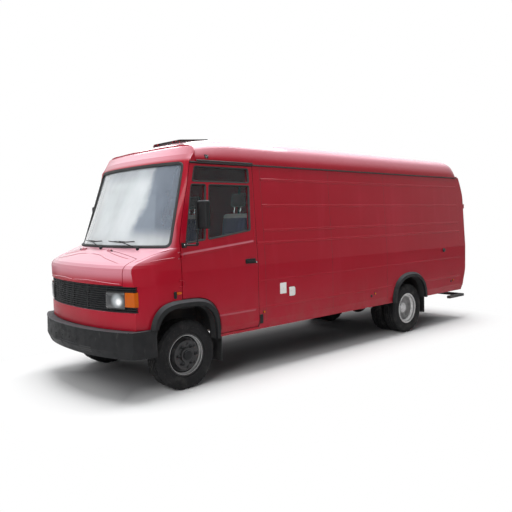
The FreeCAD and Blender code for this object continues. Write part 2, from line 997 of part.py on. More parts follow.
def hatch_ears():
    """Pair of ears with a pin ahead of the hatch's left front corner."""
    inner = hatch_hinge_x - hinge_half_h - pin_gap
    outer = hatch_hinge_x + hinge_half_h + pin_gap
    parts = [hatch_hinge_line(inner - hinge_ear_t, outer + hinge_ear_t, hatch_pin_r)]
    for x0, x1 in ((inner - hinge_ear_t, inner), (outer, outer + hinge_ear_t)):
        parts.append(hatch_hinge_line(x0, x1, hatch_barrel_r))
        parts.append(box(x0, x1, hatch_front_y - hatch_hinge_out - hatch_barrel_r,
                         hatch_front_y + hatch_barrel_r,
                         hatch_front_z - hatch_hinge_web, hatch_front_z + hatch_gap / 2))
        parts.append(box(x0, x1, hatch_front_y - hatch_hinge_out - hatch_barrel_r,
                         hatch_front_y - hatch_hinge_out,
                         hatch_front_z - hatch_hinge_web, hatch_front_z + hatch_hinge_up))
    return fuse_all(parts).cut(hatch_hinge_line(inner, outer, hatch_barrel_r).cut(
        hatch_hinge_line(inner, outer, hatch_pin_r)))


def hatch_barrel():
    """Barrel on the left front corner of the lid."""
    x0 = hatch_hinge_x - hinge_half_h
    x1 = hatch_hinge_x + hinge_half_h
    z = hatch_front_z + hatch_hinge_up
    web = box(x0, x1, hatch_front_y - hatch_hinge_out, hatch_front_y + hatch_barrel_r, z - hatch_pin_r,
              z + hatch_pin_r)
    bore = hatch_hinge_line(x0, x1, hatch_pin_r + pin_gap)
    return hatch_hinge_line(x0, x1, hatch_barrel_r).fuse(web).cut(bore)


def roof_hatch_rim():
    """Low rim that seats the hatch on the sloping roof."""
    outline = [(hatch_front_y, drip_z), (hatch_rear_y, drip_z), (hatch_rear_y, hatch_top(hatch_rear_y, 0)),
               (hatch_front_y, hatch_top(hatch_front_y, 0))]
    block = plate_x(outline, -hatch_half, hatch_half)
    return block.cut(roof_solid(0, 0)).cut(hatch_hole())


def roof_hatch():
    """Flat lid of the roof hatch."""
    low = hatch_gap
    high = hatch_gap + hatch_lid_t
    outline = [(hatch_front_y, hatch_top(hatch_front_y, low)), (hatch_rear_y, hatch_top(hatch_rear_y, low)),
               (hatch_rear_y, hatch_top(hatch_rear_y, high)), (hatch_front_y, hatch_top(hatch_front_y, high))]
    lid = plate_x(outline, -hatch_half, hatch_half)
    lid = rounded(lid, hatch_corner_r, lambda edge: abs(edge.Length - hatch_lid_t) < 1)
    return fuse_all([lid] + both(hatch_barrel()))


def side_strip(z, out, half, y0, y1):
    """Low pressed ridge along the left wall."""
    return Part.makeLoft([strip_wire(y0, z, out, half), strip_wire(y1, z, out, half)], True, True)


def strip_wire(y, z, out, half):
    """Closed section of a low ridge on the left wall, in a plane of constant y."""
    wall = side_wall_t / 2
    outline = [(side_x(z - half) - wall, z - half), (side_x(z - half), z - half),
               (side_x(z - half / 2) + out, z - half / 2), (side_x(z + half / 2) + out, z + half / 2),
               (side_x(z + half), z + half), (side_x(z + half) - wall, z + half)]
    return Part.makePolygon([V(x, y, height) for x, height in outline + outline[:1]])


def door_crease():
    """Pressed ridge that climbs along the left cab door."""
    front = strip_wire(door_crease_front_y, door_crease_front_z, rib_out, rib_half)
    rear = strip_wire(door_crease_rear_y, door_crease_rear_z, rib_out, rib_half)
    return Part.makeLoft([front, rear], True, True)


def side_wall_blank():
    """Left load wall before any door is cut, with its pressed ribs."""
    wall = side_slab(door_rear_y + panel_gap, rear_post_y, sill_z, drip_z, side_wall_t)
    strips = [side_strip(z, rib_out, rib_half, rib_front_y, rib_rear_y) for z in rib_heights]
    strips.append(side_strip(waist_rib_z, rib_out, rib_half, rub_front_y, rear_post_y))
    strips.append(side_strip(overlap_seam_z, rib_out / 2, rib_half / 2, rub_front_y, rear_post_y))
    strips.append(side_strip(rub_crease_z, rib_out, rib_half, rub_front_y, rear_post_y))
    reach = body_half_width + overrun
    ribs = fuse_all(strips).cut(rear_arch(0, reach, arch_flare_width))
    return fuse_all([wall.cut(rear_arch(0, reach, 0)), ribs])


def sliding_zone(gap):
    """Right-hand region of the sliding door, shrunk by a gap."""
    reach = body_half_width + overrun
    return box(-reach, 0, sliding_front_y + gap, sliding_rear_y - gap, sliding_low_z + gap,
               sliding_high_z - gap)


def side_wall_left():
    """Left wall of the load space."""
    return side_wall_blank()


def side_wall_right():
    """Right wall of the load space, open at the sliding door."""
    return mirrored(side_wall_blank()).cut(sliding_zone(0))


def sliding_door():
    """Side loading door in the right wall."""
    return mirrored(side_wall_blank()).common(sliding_zone(sliding_gap))


def rear_profile(inset):
    """Outline of the tail in side view as (y, z) points, drawn in by an inset."""
    points = []
    for height_share, tuck_share in rear_profile_shares:
        z = sill_z + (drip_z - sill_z) * height_share
        points.append((rear_face_y - rear_tuck * tuck_share - inset, z))
    return points


def tail_slab(inset, depth):
    """Slab that follows the tail from sill to drip rail across the body, before its sides are cut."""
    outer = rear_profile(inset)
    inner = rear_profile(inset + depth)
    rim = [V(0, y, z) for y, z in outer]
    back = Part.BSplineCurve()
    back.interpolate(rim)
    rim_in = [V(0, y, z) for y, z in inner]
    front = Part.BSplineCurve()
    front.interpolate(rim_in)
    edges = [back.toShape(), Part.makeLine(rim[-1], rim_in[-1]), front.toShape(),
             Part.makeLine(rim_in[0], rim[0])]
    face = Part.Face(Part.Wire(Part.__sortEdges__(edges)))
    face.translate(V(-body_half_width, 0, 0))
    return face.extrude(V(body_half_width * 2, 0, 0))


def tail_envelope():
    """Full cross section of the body behind the side walls."""
    outline = [(body_half_width - sill_tuck, sill_z), (body_half_width, sill_knee_z),
               (body_half_width, waist_z), (drip_half_width, drip_z)]
    outline = outline + [(-x, z) for x, z in reversed(outline)]
    far = rear_face_y
    block = plate_y(outline, rear_post_y, far)
    return rounded(block, rear_corner_r, lambda edge: edge_is_tail_corner(edge, far))


def edge_is_tail_corner(edge, far):
    """True for the upright side edges at the far end of the tail block."""
    a = edge.Vertexes[0].Point
    b = edge.Vertexes[-1].Point
    high = abs(a.z - b.z) > rear_corner_r
    return high and abs(a.y - far) < 1 and abs(b.y - far) < 1


def tail_opening(gap):
    """Doorway in the tail, tapered like the body."""
    low = rear_door_low_half - gap
    high = rear_door_high_half - gap
    z0 = rear_door_low_z + gap
    z1 = rear_door_high_z - gap
    outline = [(-low, z0), (low, z0), (high, z1), (-high, z1)]
    return plate_y(outline, rear_post_y - overrun, rear_face_y + overrun)


def tail_block(inset):
    """Everything from the side walls' rear ends to the tail's skin, drawn in by an inset."""
    rim = [V(0, y, z) for y, z in rear_profile(inset)]
    back = Part.BSplineCurve()
    back.interpolate(rim)
    low = V(0, rear_post_y, rim[0].z)
    high = V(0, rear_post_y, rim[-1].z)
    edges = [back.toShape(), Part.makeLine(rim[-1], high), Part.makeLine(high, low),
             Part.makeLine(low, rim[0])]
    face = Part.Face(Part.Wire(edges))
    face.translate(V(-body_half_width, 0, 0))
    return face.extrude(V(body_half_width * 2, 0, 0))


def rear_hinge_bar(z0, z1, radius):
    """Round bar on the left rear door's hinge axis."""
    y = rear_face_y + rear_hinge_out
    return rod(V(rear_hinge_x, y, z0), V(rear_hinge_x, y, z1), radius)


def rear_hinge_ears():
    """Hinge ears and pins on the left rear post."""
    parts = []
    y = rear_face_y + rear_hinge_out
    reach = hinge_half_h + pin_gap
    for z in rear_hinge_zs:
        parts.append(rear_hinge_bar(z - reach - hinge_ear_t, z + reach + hinge_ear_t, hinge_pin_r))
        for z0, z1 in ((z - reach - hinge_ear_t, z - reach), (z + reach, z + reach + hinge_ear_t)):
            parts.append(rear_hinge_bar(z0, z1, hinge_barrel_r))
            parts.append(box(rear_hinge_x - hinge_barrel_r, rear_hinge_x + hinge_barrel_r,
                             rear_face_y - rear_door_t, y, z0, z1))
    return parts


def rear_hinge_straps():
    """Hinge straps and barrels on the left rear door."""
    parts = []
    y = rear_face_y + rear_hinge_out
    for z in rear_hinge_zs:
        low = z - hinge_half_h
        high = z + hinge_half_h
        strap = box(rear_hinge_x - strap_length, rear_hinge_x, y - hinge_pin_r, y + hinge_pin_r / 2,
                    low, high)
        spacer = box(rear_hinge_x - strap_length, rear_door_high_half, rear_face_y - rear_door_t,
                     y - hinge_pin_r / 2,
                     low, high)
        whole = rear_hinge_bar(low, high, hinge_barrel_r).fuse([strap, spacer])
        parts.append(whole.cut(rear_hinge_bar(low, high, hinge_pin_r + pin_gap)))
    return parts


def rear_frame():
    """Posts, header and lower panel round the rear doors."""
    block = tail_block(0).common(tail_envelope())
    core = tail_block(rear_panel_t)
    low_core = core.common(box(-rear_door_low_half + rear_panel_t, rear_door_low_half - rear_panel_t,
                               rear_post_y, rear_face_y, sill_z, rear_door_low_z - rear_panel_t))
    ears = []
    for ear in rear_hinge_ears():
        ears += both(ear)
    return fuse_all([block.cut(tail_opening(0)).cut(low_core)] + ears)


def rear_door(sign):
    """One leaf of the rear doors with its window cut."""
    leaf = tail_slab(0, rear_door_t).common(tail_opening(panel_gap))
    half = box(rear_meeting_gap, body_half_width, rear_post_y, rear_face_y + overrun, 0, drip_z)
    leaf = leaf.common(half).cut(rear_window_zone(0))
    leaf = fuse_all([leaf] + rear_hinge_straps())
    return leaf if sign > 0 else mirrored(leaf)


def rear_window_zone(margin):
    """Window region of the left rear door."""
    block = box(rear_window_inner_x - margin, rear_window_outer_x + margin, rear_post_y,
                rear_face_y + overrun,
                rear_window_low_z - margin, rear_window_high_z + margin)
    span = rear_face_y + overrun - rear_post_y
    return rounded(block, rear_window_r, lambda edge: abs(edge.Length - span) < 1)


def rear_glass(sign):
    """Pane of one rear door."""
    pane = tail_slab((rear_door_t - rear_glass_t) / 2, rear_glass_t).common(rear_window_zone(0))
    return pane if sign > 0 else mirrored(pane)


def pane_solid(points):
    """Through cutter of one window from its side view outline, corners rounded."""
    solid = plate_x(points, 0, body_half_width + overrun)
    span = body_half_width + overrun
    return rounded(solid, pane_r, lambda edge: abs(edge.Length - span) < 1)


def door_panes():
    """Cutters of the transom, quarter and main windows."""
    transom = [(transom_front_y, transom_low_z), (transom_rear_y, transom_low_z),
               (transom_rear_y, transom_high_z), (transom_front_top_y, transom_high_z)]
    quarter = [(quarter_front_low_y, pane_front_low_z), (quarter_rear_low_y, pane_front_mid_z),
               (quarter_rear_top_y, pane_top_z), (quarter_front_top_y, pane_top_z)]
    main = [(quarter_rear_low_y + divider_w, pane_front_mid_z), (pane_rear_low_y, pane_rear_low_z),
            (pane_rear_top_y, pane_top_z), (quarter_rear_top_y + divider_w, pane_top_z)]
    return [pane_solid(points) for points in (transom, quarter, main)]


def cab_hinge_barrels():
    """Hinge barrels on the front edge of the left cab door."""
    parts = []
    for z in cab_hinge_zs:
        low = z - hinge_half_h
        high = z + hinge_half_h
        barrel = rod(V(cab_hinge_x, cab_hinge_y, low), V(cab_hinge_x, cab_hinge_y, high), hinge_barrel_r)
        web = box(side_x(z) - hinge_barrel_r, cab_hinge_x, cab_hinge_y, cab_hinge_y + hinge_web, low, high)
        bore = rod(V(cab_hinge_x, cab_hinge_y, low), V(cab_hinge_x, cab_hinge_y, high), hinge_pin_r + pin_gap)
        parts.append(barrel.fuse(web).cut(bore))
    return parts


def cab_hinge_ears():
    """Hinge ears and pins on the left fender for the cab door."""
    parts = []
    for z in cab_hinge_zs:
        reach = hinge_half_h + pin_gap
        for z0, z1 in ((z - reach - hinge_ear_t, z - reach), (z + reach, z + reach + hinge_ear_t)):
            parts.append(rod(V(cab_hinge_x, cab_hinge_y, z0), V(cab_hinge_x, cab_hinge_y, z1),
                             hinge_barrel_r))
            parts.append(box(side_x(z0) + hinge_stand, cab_hinge_x, cab_hinge_y - hinge_web * 2,
                             cab_hinge_y, z0, z1))
            parts.append(box(side_x(z0) - hinge_barrel_r, cab_hinge_x, cab_hinge_y - hinge_web * 2,
                             door_foot_y - panel_gap, z0, z1))
        parts.append(rod(V(cab_hinge_x, cab_hinge_y, z - reach - hinge_ear_t),
                         V(cab_hinge_x, cab_hinge_y, z + reach + hinge_ear_t), hinge_pin_r))
    return parts


def cab_door(sign):
    """Front door with its frame, cut for its panes and round the wheel arch."""
    slab = side_slab(door_foot_y, door_rear_y, door_bottom_z, door_top_z, door_t)
    crease = door_crease()
    seam = side_strip(rub_crease_z, rib_out, rib_half, door_foot_y, door_rear_y)
    slab = fuse_all([slab, crease, seam])
    zone = plate_x(door_zone(0, door_top_z, door_bottom_z), 0, body_half_width + overrun)
    slab = slab.common(zone)
    slab = slab.cut(front_arch(0, body_half_width + overrun, arch_flare_width + panel_gap))
    for pane in door_panes():
        slab = slab.cut(pane)
    slab = fuse_all([slab] + cab_hinge_barrels())
    return slab if sign > 0 else mirrored(slab)


def door_glass(sign):
    """Three panes of a front door."""
    sheet = side_slab(door_foot_y, door_rear_y, door_bottom_z, door_top_z, door_glass_t, door_glass_inset)
    panes = [sheet.common(pane) for pane in door_panes()]
    whole = group(panes)
    return whole if sign > 0 else mirrored(whole)


def mirror(sign):
    """Door mirror: head, upright rod and its bent arm to a foot on the door."""
    head = box(mirror_x - mirror_half_w, mirror_x + mirror_half_w, mirror_y - mirror_half_t,
               mirror_y + mirror_half_t,
               mirror_low_z, mirror_high_z)
    head = head.makeFillet(mirror_r, head.Edges)
    skin = side_x(mirror_foot_z)
    rod_x = mirror_x - mirror_half_w / 2
    post = rod(V(rod_x, mirror_rod_y, mirror_foot_z), V(rod_x, mirror_rod_y, mirror_high_z), mirror_arm_r)
    arm = rod(V(skin, mirror_foot_y, mirror_foot_z), V(rod_x, mirror_rod_y, mirror_foot_z), mirror_arm_r)
    elbow = ball(V(rod_x, mirror_rod_y, mirror_foot_z), mirror_arm_r)
    link_z = (mirror_low_z + mirror_high_z) / 2
    link = rod(V(rod_x, mirror_rod_y, link_z), V(rod_x, mirror_y, link_z), mirror_arm_r)
    foot = box(skin - mirror_foot_size, skin + mirror_foot_size, mirror_foot_y - mirror_foot_size,
               mirror_foot_y + mirror_foot_size, mirror_foot_z - mirror_foot_size,
               mirror_foot_z + mirror_foot_size)
    whole = fuse_all([head, post, arm, elbow, link, foot])
    whole = whole.cut(side_slab(-wheelbase, wheelbase, sill_z, drip_z, door_t))
    return whole if sign > 0 else mirrored(whole)


def chassis_frame():
    """Two box rails with spring hangers and bumper brackets."""
    rail = box(rail_outer_x - rail_web_t, rail_outer_x, rail_front_y, rail_rear_y,
               rail_top_z - rail_depth, rail_top_z)
    parts = both(rail)
    inner = rail_outer_x - rail_web_t
    for centre_y, half in ((0, front_spring_half), (wheelbase, rear_spring_half)):
        for side in (-1, 1):
            parts += both(spring_hanger(centre_y + side * half, spring_eye_z(centre_y)))
    bracket = box(inner, rail_outer_x, -bumper_mid_reach + bumper_wall / 2, rail_front_y,
                  bumper_kink_z + bumper_wall, bumper_high_z)
    parts += both(bracket)
    left = fuse_all([part for part in parts if part.BoundBox.XMin > 0]).cut(bumper_solid())
    return group(both(left))


def cross_members():
    """Box members riveted between the two rails."""
    half = rail_outer_x - rail_web_t - seat_gap
    return group([box(-half, half, y - cross_member_w / 2, y + cross_member_w / 2,
                      cross_member_low_z, cross_member_high_z) for y in cross_member_ys])


def spring_eye_z(centre_y):
    """Height of the spring eyes of an axle."""
    if centre_y == 0:
        return front_seat_z + front_spring_rise
    return rear_seat_z + rear_spring_rise


def spring_hanger(y, z):
    """Block under the left rail that takes one spring eye."""
    x = rail_outer_x - rail_web_t / 2
    block = box(x - spring_w / 2, x + spring_w / 2, y - hanger_half, y + hanger_half, z + leaf_t / 2,
                rail_top_z - rail_depth)
    eye = rod(V(x - spring_w, y, z), V(x + spring_w, y, z), eye_r)
    return block.cut(eye)


def leaf_pack(centre_y, half, seat_z, rise):
    """Graded leaf spring under the left rail, stepped where each leaf ends."""
    x0 = rail_outer_x - rail_web_t / 2 - spring_w / 2
    reaches = [half - leaf_step * number for number in reversed(range(leaf_count))]
    top = [(0, seat_z + leaf_t)]
    bottom = [(0, seat_z + leaf_t - leaf_t * leaf_count)]
    for number, reach in enumerate(reaches):
        count = leaf_count - number
        z = seat_z + leaf_t + (rise - leaf_t) * (reach / half) ** 2
        top.append((reach, z))
        bottom.append((reach, z - leaf_t * count))
        if count > 1:
            bottom.append((reach, z - leaf_t * (count - 1)))
    right = top[1:] + list(reversed(bottom))
    left = [(-y, z) for y, z in reversed(right)]
    outline = [(centre_y + y, z) for y, z in left + top[:1] + right[:-1]]
    leaves = [plate_x(outline, x0, x0 + spring_w)]
    for side in (-1, 1):
        y = centre_y + side * half
        z = seat_z + rise
        leaves.append(rod(V(x0, y, z), V(x0 + spring_w, y, z), eye_r))
    return fuse_all(leaves)


def leaf_springs():
    """Four leaf packs."""
    front = leaf_pack(0, front_spring_half, front_seat_z, front_spring_rise)
    rear = leaf_pack(wheelbase, rear_spring_half, rear_seat_z, rear_spring_rise)
    return group(both(front) + both(rear))


def front_axle():
    """Dropped beam with spring pads and a bored boss at each kingpin."""
    mid_z = tyre_radius
    pack_low = front_seat_z - leaf_t * leaf_count + leaf_t
    beam = plate_y([
        (-kingpin_x, mid_z + beam_drop), (-kingpin_x, mid_z - beam_drop),
        (-rail_outer_x, mid_z - beam_drop - beam_h / 2), (rail_outer_x, mid_z - beam_drop - beam_h / 2),
        (kingpin_x, mid_z - beam_drop), (kingpin_x, mid_z + beam_drop),
        (rail_outer_x, pack_low), (-rail_outer_x, pack_low)], -beam_half_w, beam_half_w)
    parts = [beam]
    for side in (-1, 1):
        x = kingpin_x * side
        parts.append(rod(V(x, 0, boss_low_z), V(x, 0, boss_high_z), boss_r))
    whole = fuse_all(parts)
    for side in (-1, 1):
        x = kingpin_x * side
        clear = boss_r + pin_gap
        over = box(x - yoke_half_w - spindle_r, x + yoke_half_w + spindle_r, -boss_r - yoke_t,
                   boss_r + yoke_t,
                   boss_high_z, boss_high_z + boss_r)
        under = box(x - yoke_half_w - spindle_r, x + yoke_half_w + spindle_r, -boss_r - yoke_t,
                    boss_r + yoke_t,
                    boss_low_z - boss_r, boss_low_z)
        whole = whole.cut(over).cut(under)
        whole = whole.cut(rod(V(x, 0, 0), V(x, 0, rail_top_z), pin_r + pin_gap))
    return whole


def knuckle(sign):
    """Forked steering knuckle with kingpin, spindle, brake plate and steering arm."""
    x = kingpin_x
    z = tyre_radius
    top0 = boss_high_z + pin_gap
    low1 = boss_low_z - pin_gap
    parts = [
        rod(V(x, 0, low1 - yoke_t), V(x, 0, top0 + yoke_t), pin_r),
        rod(V(x, 0, top0), V(x, 0, top0 + yoke_t), yoke_half_w),
        rod(V(x, 0, low1 - yoke_t), V(x, 0, low1), yoke_half_w),
        box(x, yoke_out_x, -yoke_half_w, yoke_half_w, top0, top0 + yoke_t),
        box(x, yoke_out_x, -yoke_half_w, yoke_half_w, low1 - yoke_t, low1),
        box(yoke_out_x - yoke_web_t, yoke_out_x, -yoke_half_w, yoke_half_w, low1 - yoke_t, top0 + yoke_t),
        rod(V(yoke_out_x - yoke_web_t, 0, z), V(spindle_end_x, 0, z), spindle_r),
        rod(V(yoke_out_x, 0, z), V(yoke_out_x + plate_t, 0, z), plate_r),
        box(x - arm_half_w, x + arm_half_w, 0, arm_reach, low1 - arm_t, low1),
        rod(V(x, arm_reach, low1 - arm_t), V(x, arm_reach, low1), arm_half_w),
    ]
    whole = fuse_all(parts)
    whole = whole.cut(rod(V(x, arm_reach, 0), V(x, arm_reach, rail_top_z), arm_pin_r + pin_gap))
    return whole if sign > 0 else mirrored(whole)


def track_rod():
    """Bar between the steering arms with a pin up into each."""
    low1 = boss_low_z - pin_gap
    foot = low1 - arm_t - pin_gap
    parts = [rod(V(-kingpin_x, arm_reach, track_rod_z), V(kingpin_x, arm_reach, track_rod_z), track_rod_r)]
    for side in (-1, 1):
        x = kingpin_x * side
        parts.append(rod(V(x, arm_reach, track_rod_z - track_rod_r), V(x, arm_reach, foot), rod_end_r))
        parts.append(rod(V(x, arm_reach, track_rod_z), V(x, arm_reach, low1 + pin_gap), arm_pin_r))
    return fuse_all(parts)


def tyre(face_x):
    """Plain tyre whose outer face lies at face_x."""
    half = tyre_section / 2
    tread = tread_width / 2
    wall = tyre_radius - bead_radius
    bead = rim_half - rim_lip_t
    left = [(-bead, rim_seat_radius), (-bead, rim_radius)]
    for inward, outward in tyre_side_shares:
        left.append((-half + wall * inward, bead_radius + wall * outward))
    for inward, down in tyre_shoulder_shares:
        left.append((-tread + wall * inward, tyre_radius - wall * down))
    outline = left + [(-along, radius) for along, radius in reversed(left)]
    return turned(outline, V(face_x - half, 0, tyre_radius))


def barrel():
    """Rim barrel outline, along and radius from the wheel's middle plane."""
    seat = rim_seat_radius
    return [
        (-rim_half, rim_radius), (-rim_half + rim_lip_t, rim_radius), (-rim_half + rim_lip_t, seat),
        (-rim_half + rim_lip_t + rim_slope, seat), (-rim_half + rim_lip_t + 2 * rim_slope, rim_well_r),
        (rim_half - rim_lip_t - 2 * rim_slope, rim_well_r), (rim_half - rim_lip_t - rim_slope, seat),
        (rim_half - rim_lip_t, seat), (rim_half - rim_lip_t, rim_radius), (rim_half, rim_radius),
        (rim_half, seat - rim_t), (rim_half - rim_lip_t - rim_slope, seat - rim_t),
        (rim_half - rim_lip_t - 2 * rim_slope, rim_well_r - rim_t),
        (-rim_half + rim_lip_t + 2 * rim_slope, rim_well_r - rim_t), (-rim_half + rim_lip_t + rim_slope,
                                                                      seat - rim_t),
        (-rim_half, seat - rim_t),
    ]


def disc(side):
    """Wheel disc outline that bulges to one side of the rim's middle plane."""
    bore = spindle_r + pin_gap
    points = [
        (disc_root, rim_well_r - rim_t / 2), (disc_face - disc_t, disc_shoulder_r), (disc_face - disc_t,
                                                                                     bore),
        (disc_face, bore), (disc_face, disc_shoulder_r + disc_t), (disc_root + disc_t,
                                                                   rim_well_r - rim_t / 2),
    ]
    return [(along * side, radius) for along, radius in points]


def wheel_disc(centre, side, bore):
    """Barrel and disc of one wheel with its ring of vent holes."""
    whole = turned(barrel(), centre).fuse(turned(disc(side), centre))
    for number in range(disc_hole_count):
        angle = 2 * math.pi * number / disc_hole_count
        spot = centre + V(0, disc_hole_circle_r * math.cos(angle), disc_hole_circle_r * math.sin(angle))
        reach = X_AXIS * (disc_face + disc_t)
        whole = whole.cut(rod(spot, spot + reach * side, disc_hole_r))
    return whole.cut(rod(centre - X_AXIS * wheelbase, centre + X_AXIS * wheelbase, bore)).removeSplitter()


def rim_front(sign):
    """Front rim with its hub and brake drum."""
    centre = V(front_tyre_face_x - tyre_section / 2, 0, tyre_radius)
    wheel = wheel_disc(centre, 1, spindle_r + pin_gap)
    face_x = centre.x + disc_face
    hub = ring(V(front_drum_x, 0, tyre_radius), V(face_x, 0, tyre_radius), spindle_r + hub_wall,
               spindle_r + pin_gap)
    drum = ring(V(front_drum_x, 0, tyre_radius), V(face_x - disc_t, 0, tyre_radius), plate_r,
                plate_r - hub_wall)
    web = ring(V(face_x - disc_t - disc_t, 0, tyre_radius), V(face_x - disc_t, 0, tyre_radius), plate_r,
               spindle_r + pin_gap)
    cap = rod(V(spindle_end_x + pin_gap, 0, tyre_radius), V(face_x + hub_cap_out, 0, tyre_radius), hub_radius)
    plug = rod(V(spindle_end_x + pin_gap, 0, tyre_radius), V(face_x, 0, tyre_radius), spindle_r + hub_wall)
    whole = fuse_all([wheel, hub, drum, web, cap.common(box(face_x - disc_t, face_x + overrun, -hub_radius,
                      hub_radius, 0, tyre_radius * 2)), plug])
    return whole if sign > 0 else mirrored(whole)


def rims_rear(sign):
    """Twin rear rims bolted face to face, with hub and brake drum."""
    outer_x = rear_tyre_face_x - tyre_section / 2
    inner_x = outer_x - twin_spacing
    joint_x = (outer_x + inner_x) / 2
    bore = rear_tube_r + pin_gap
    outer = deep_wheel(V(outer_x, wheelbase, tyre_radius), -1, joint_x, bore)
    inner = deep_wheel(V(inner_x, wheelbase, tyre_radius), 1, joint_x, bore)
    hub = ring(V(inner_x, wheelbase, tyre_radius), V(rear_tube_end_x + seat_gap, wheelbase, tyre_radius),
               rear_tube_r + hub_wall / 2, bore)
    cap = rod(V(rear_tube_end_x + seat_gap, wheelbase, tyre_radius),
              V(rear_tube_end_x + hub_cap_out, wheelbase, tyre_radius), rear_tube_r + hub_wall / 2)
    drum = ring(V(inner_x - drum_width / 2, wheelbase, tyre_radius), V(joint_x, wheelbase, tyre_radius),
                plate_r, plate_r - hub_wall / 2)
    web = ring(V(joint_x - disc_t * 2, wheelbase, tyre_radius), V(joint_x, wheelbase, tyre_radius),
               plate_r, bore)
    whole = fuse_all([outer, inner, hub, cap, drum, web])
    return whole if sign > 0 else mirrored(whole)


def deep_wheel(centre, side, joint_x, bore):
    """Rear wheel whose disc reaches the joint between the twins."""
    reach = abs(joint_x - centre.x)
    whole = turned(barrel(), centre)
    points = [
        (disc_root, rim_well_r - rim_t / 2), (reach - disc_t, disc_shoulder_r), (reach - disc_t, bore),
        (reach, bore), (reach, disc_shoulder_r + disc_t), (disc_root + disc_t, rim_well_r - rim_t / 2),
    ]
    whole = whole.fuse(turned([(along * side, radius) for along, radius in points], centre))
    for number in range(disc_hole_count):
        angle = 2 * math.pi * number / disc_hole_count
        spot = centre + V(0, disc_hole_circle_r * math.cos(angle), disc_hole_circle_r * math.sin(angle))
        whole = whole.cut(rod(spot, spot + X_AXIS * (reach + disc_t) * side, disc_hole_r))
    return whole


def rear_axle():
    """Tube with the final drive housing."""
    z = tyre_radius
    tube = rod(V(-rear_tube_end_x, wheelbase, z), V(rear_tube_end_x, wheelbase, z), rear_tube_r)
    housing = ball(V(0, 0, 0), diff_r)
    housing.rotate(V(0, 0, 0), Y_AXIS, 90)
    housing.translate(V(0, wheelbase, z))
    nose_bar = rod(V(0, wheelbase, z), V(0, wheelbase - diff_nose, z), prop_r * 2)
    parts = [tube, housing, nose_bar]
    pad_top = rear_seat_z - leaf_t * leaf_count + leaf_t
    x0 = rail_outer_x - rail_web_t / 2 - spring_w / 2
    parts += both(box(x0, x0 + spring_w, wheelbase - spring_w / 2, wheelbase + spring_w / 2, z, pad_top))
    return fuse_all(parts)


def engine():
    """Engine as one block between the rails with its mounts and gearbox."""
    block = box(-engine_half_w, engine_half_w, engine_front_y, engine_rear_y, engine_low_z, engine_high_z)
    inner = rail_outer_x - rail_web_t
    low = rail_top_z - rail_depth
    feet = box(-inner, inner, mount_front_y, mount_front_y + mount_w, low + mount_w / 2, low + mount_w)
    gearbox = rod(V(0, engine_rear_y, gearbox_z), V(0, gearbox_rear_y, gearbox_z), gearbox_r)
    return fuse_all([block, feet, gearbox])


def propshaft():
    """Drive shaft from gearbox to rear axle."""
    start = V(0, gearbox_rear_y, gearbox_z)
    end = V(0, wheelbase - diff_nose, tyre_radius)
    shaft = rod(start, end, prop_r)
    front_joint = rod(start, start + Y_AXIS * prop_r * 2, prop_r + leaf_t)
    rear_joint = rod(end - Y_AXIS * prop_r * 2, end, prop_r + leaf_t)
    whole = fuse_all([shaft, front_joint, rear_joint])
    keep = box(-engine_half_w, engine_half_w, gearbox_rear_y, wheelbase - diff_nose, 0, rail_top_z)
    return whole.common(keep)


def fuel_tank():
    """Tank on the outside of the right rail."""
    tank = box(-tank_outer_x, -rail_outer_x, tank_front_y, tank_rear_y, tank_low_z, tank_high_z)
    return rounded(tank, tank_r, lambda edge: edge.Length > tank_rear_y - tank_front_y - 1
                   and edge.Vertexes[0].Point.x < -rail_outer_x - 1)


def exhaust():
    """Pipe from the engine through the silencer to an outlet ahead of the left rear wheel."""
    points = [V(engine_half_w, 0, pipe_z), V(engine_half_w + pipe_r * 2, pipe_r * 2, pipe_z),
              V(silencer_x, pipe_bend_y, pipe_z), V(silencer_x, silencer_front_y + pipe_r, pipe_z),
              V(silencer_x, silencer_rear_y, pipe_z), V(silencer_x, pipe_out_y - silencer_r * 2, pipe_z),
              V(silencer_x + silencer_r * 2, pipe_out_y, pipe_z), V(pipe_end_x, pipe_out_y, pipe_z)]
    parts = []
    for start, end in zip(points, points[1:]):
        parts.append(rod(start, end, pipe_r))
    for point in points[1:-1]:
        parts.append(ball(point, pipe_r))
    parts.append(rod(V(silencer_x, silencer_front_y, silencer_z), V(silencer_x, silencer_rear_y, silencer_z),
                     silencer_r))
    for y in (silencer_front_y + silencer_r, silencer_rear_y - silencer_r):
        parts.append(rod(V(silencer_x, y, silencer_z), V(silencer_x, y, floor_top_z - floor_t), hanger_rod_r))
    whole = fuse_all(parts)
    return whole.cut(engine())


def house(x0, x1, spread):
    """Solid that fills the inner front wheelhouse."""
    wire = arch_wire(x0, 0, (house_reach, house_reach), house_top_z, house_power, spread)
    block = Part.Face(wire).extrude(V(x1 - x0, 0, 0))
    return block.common(box(x0, x1, -wheelbase, wheelbase, house_foot_z, roof_crown_z))


def rear_house(x0, x1, spread):
    """Solid that fills the inner rear wheelhouse."""
    wire = arch_wire(x0, wheelbase, (rear_house_reach, rear_house_reach), rear_arch_top_z, house_power,
                     spread)
    block = Part.Face(wire).extrude(V(x1 - x0, 0, 0))
    return block.common(box(x0, x1, 0, wheelbase * 2, house_foot_z, roof_crown_z))


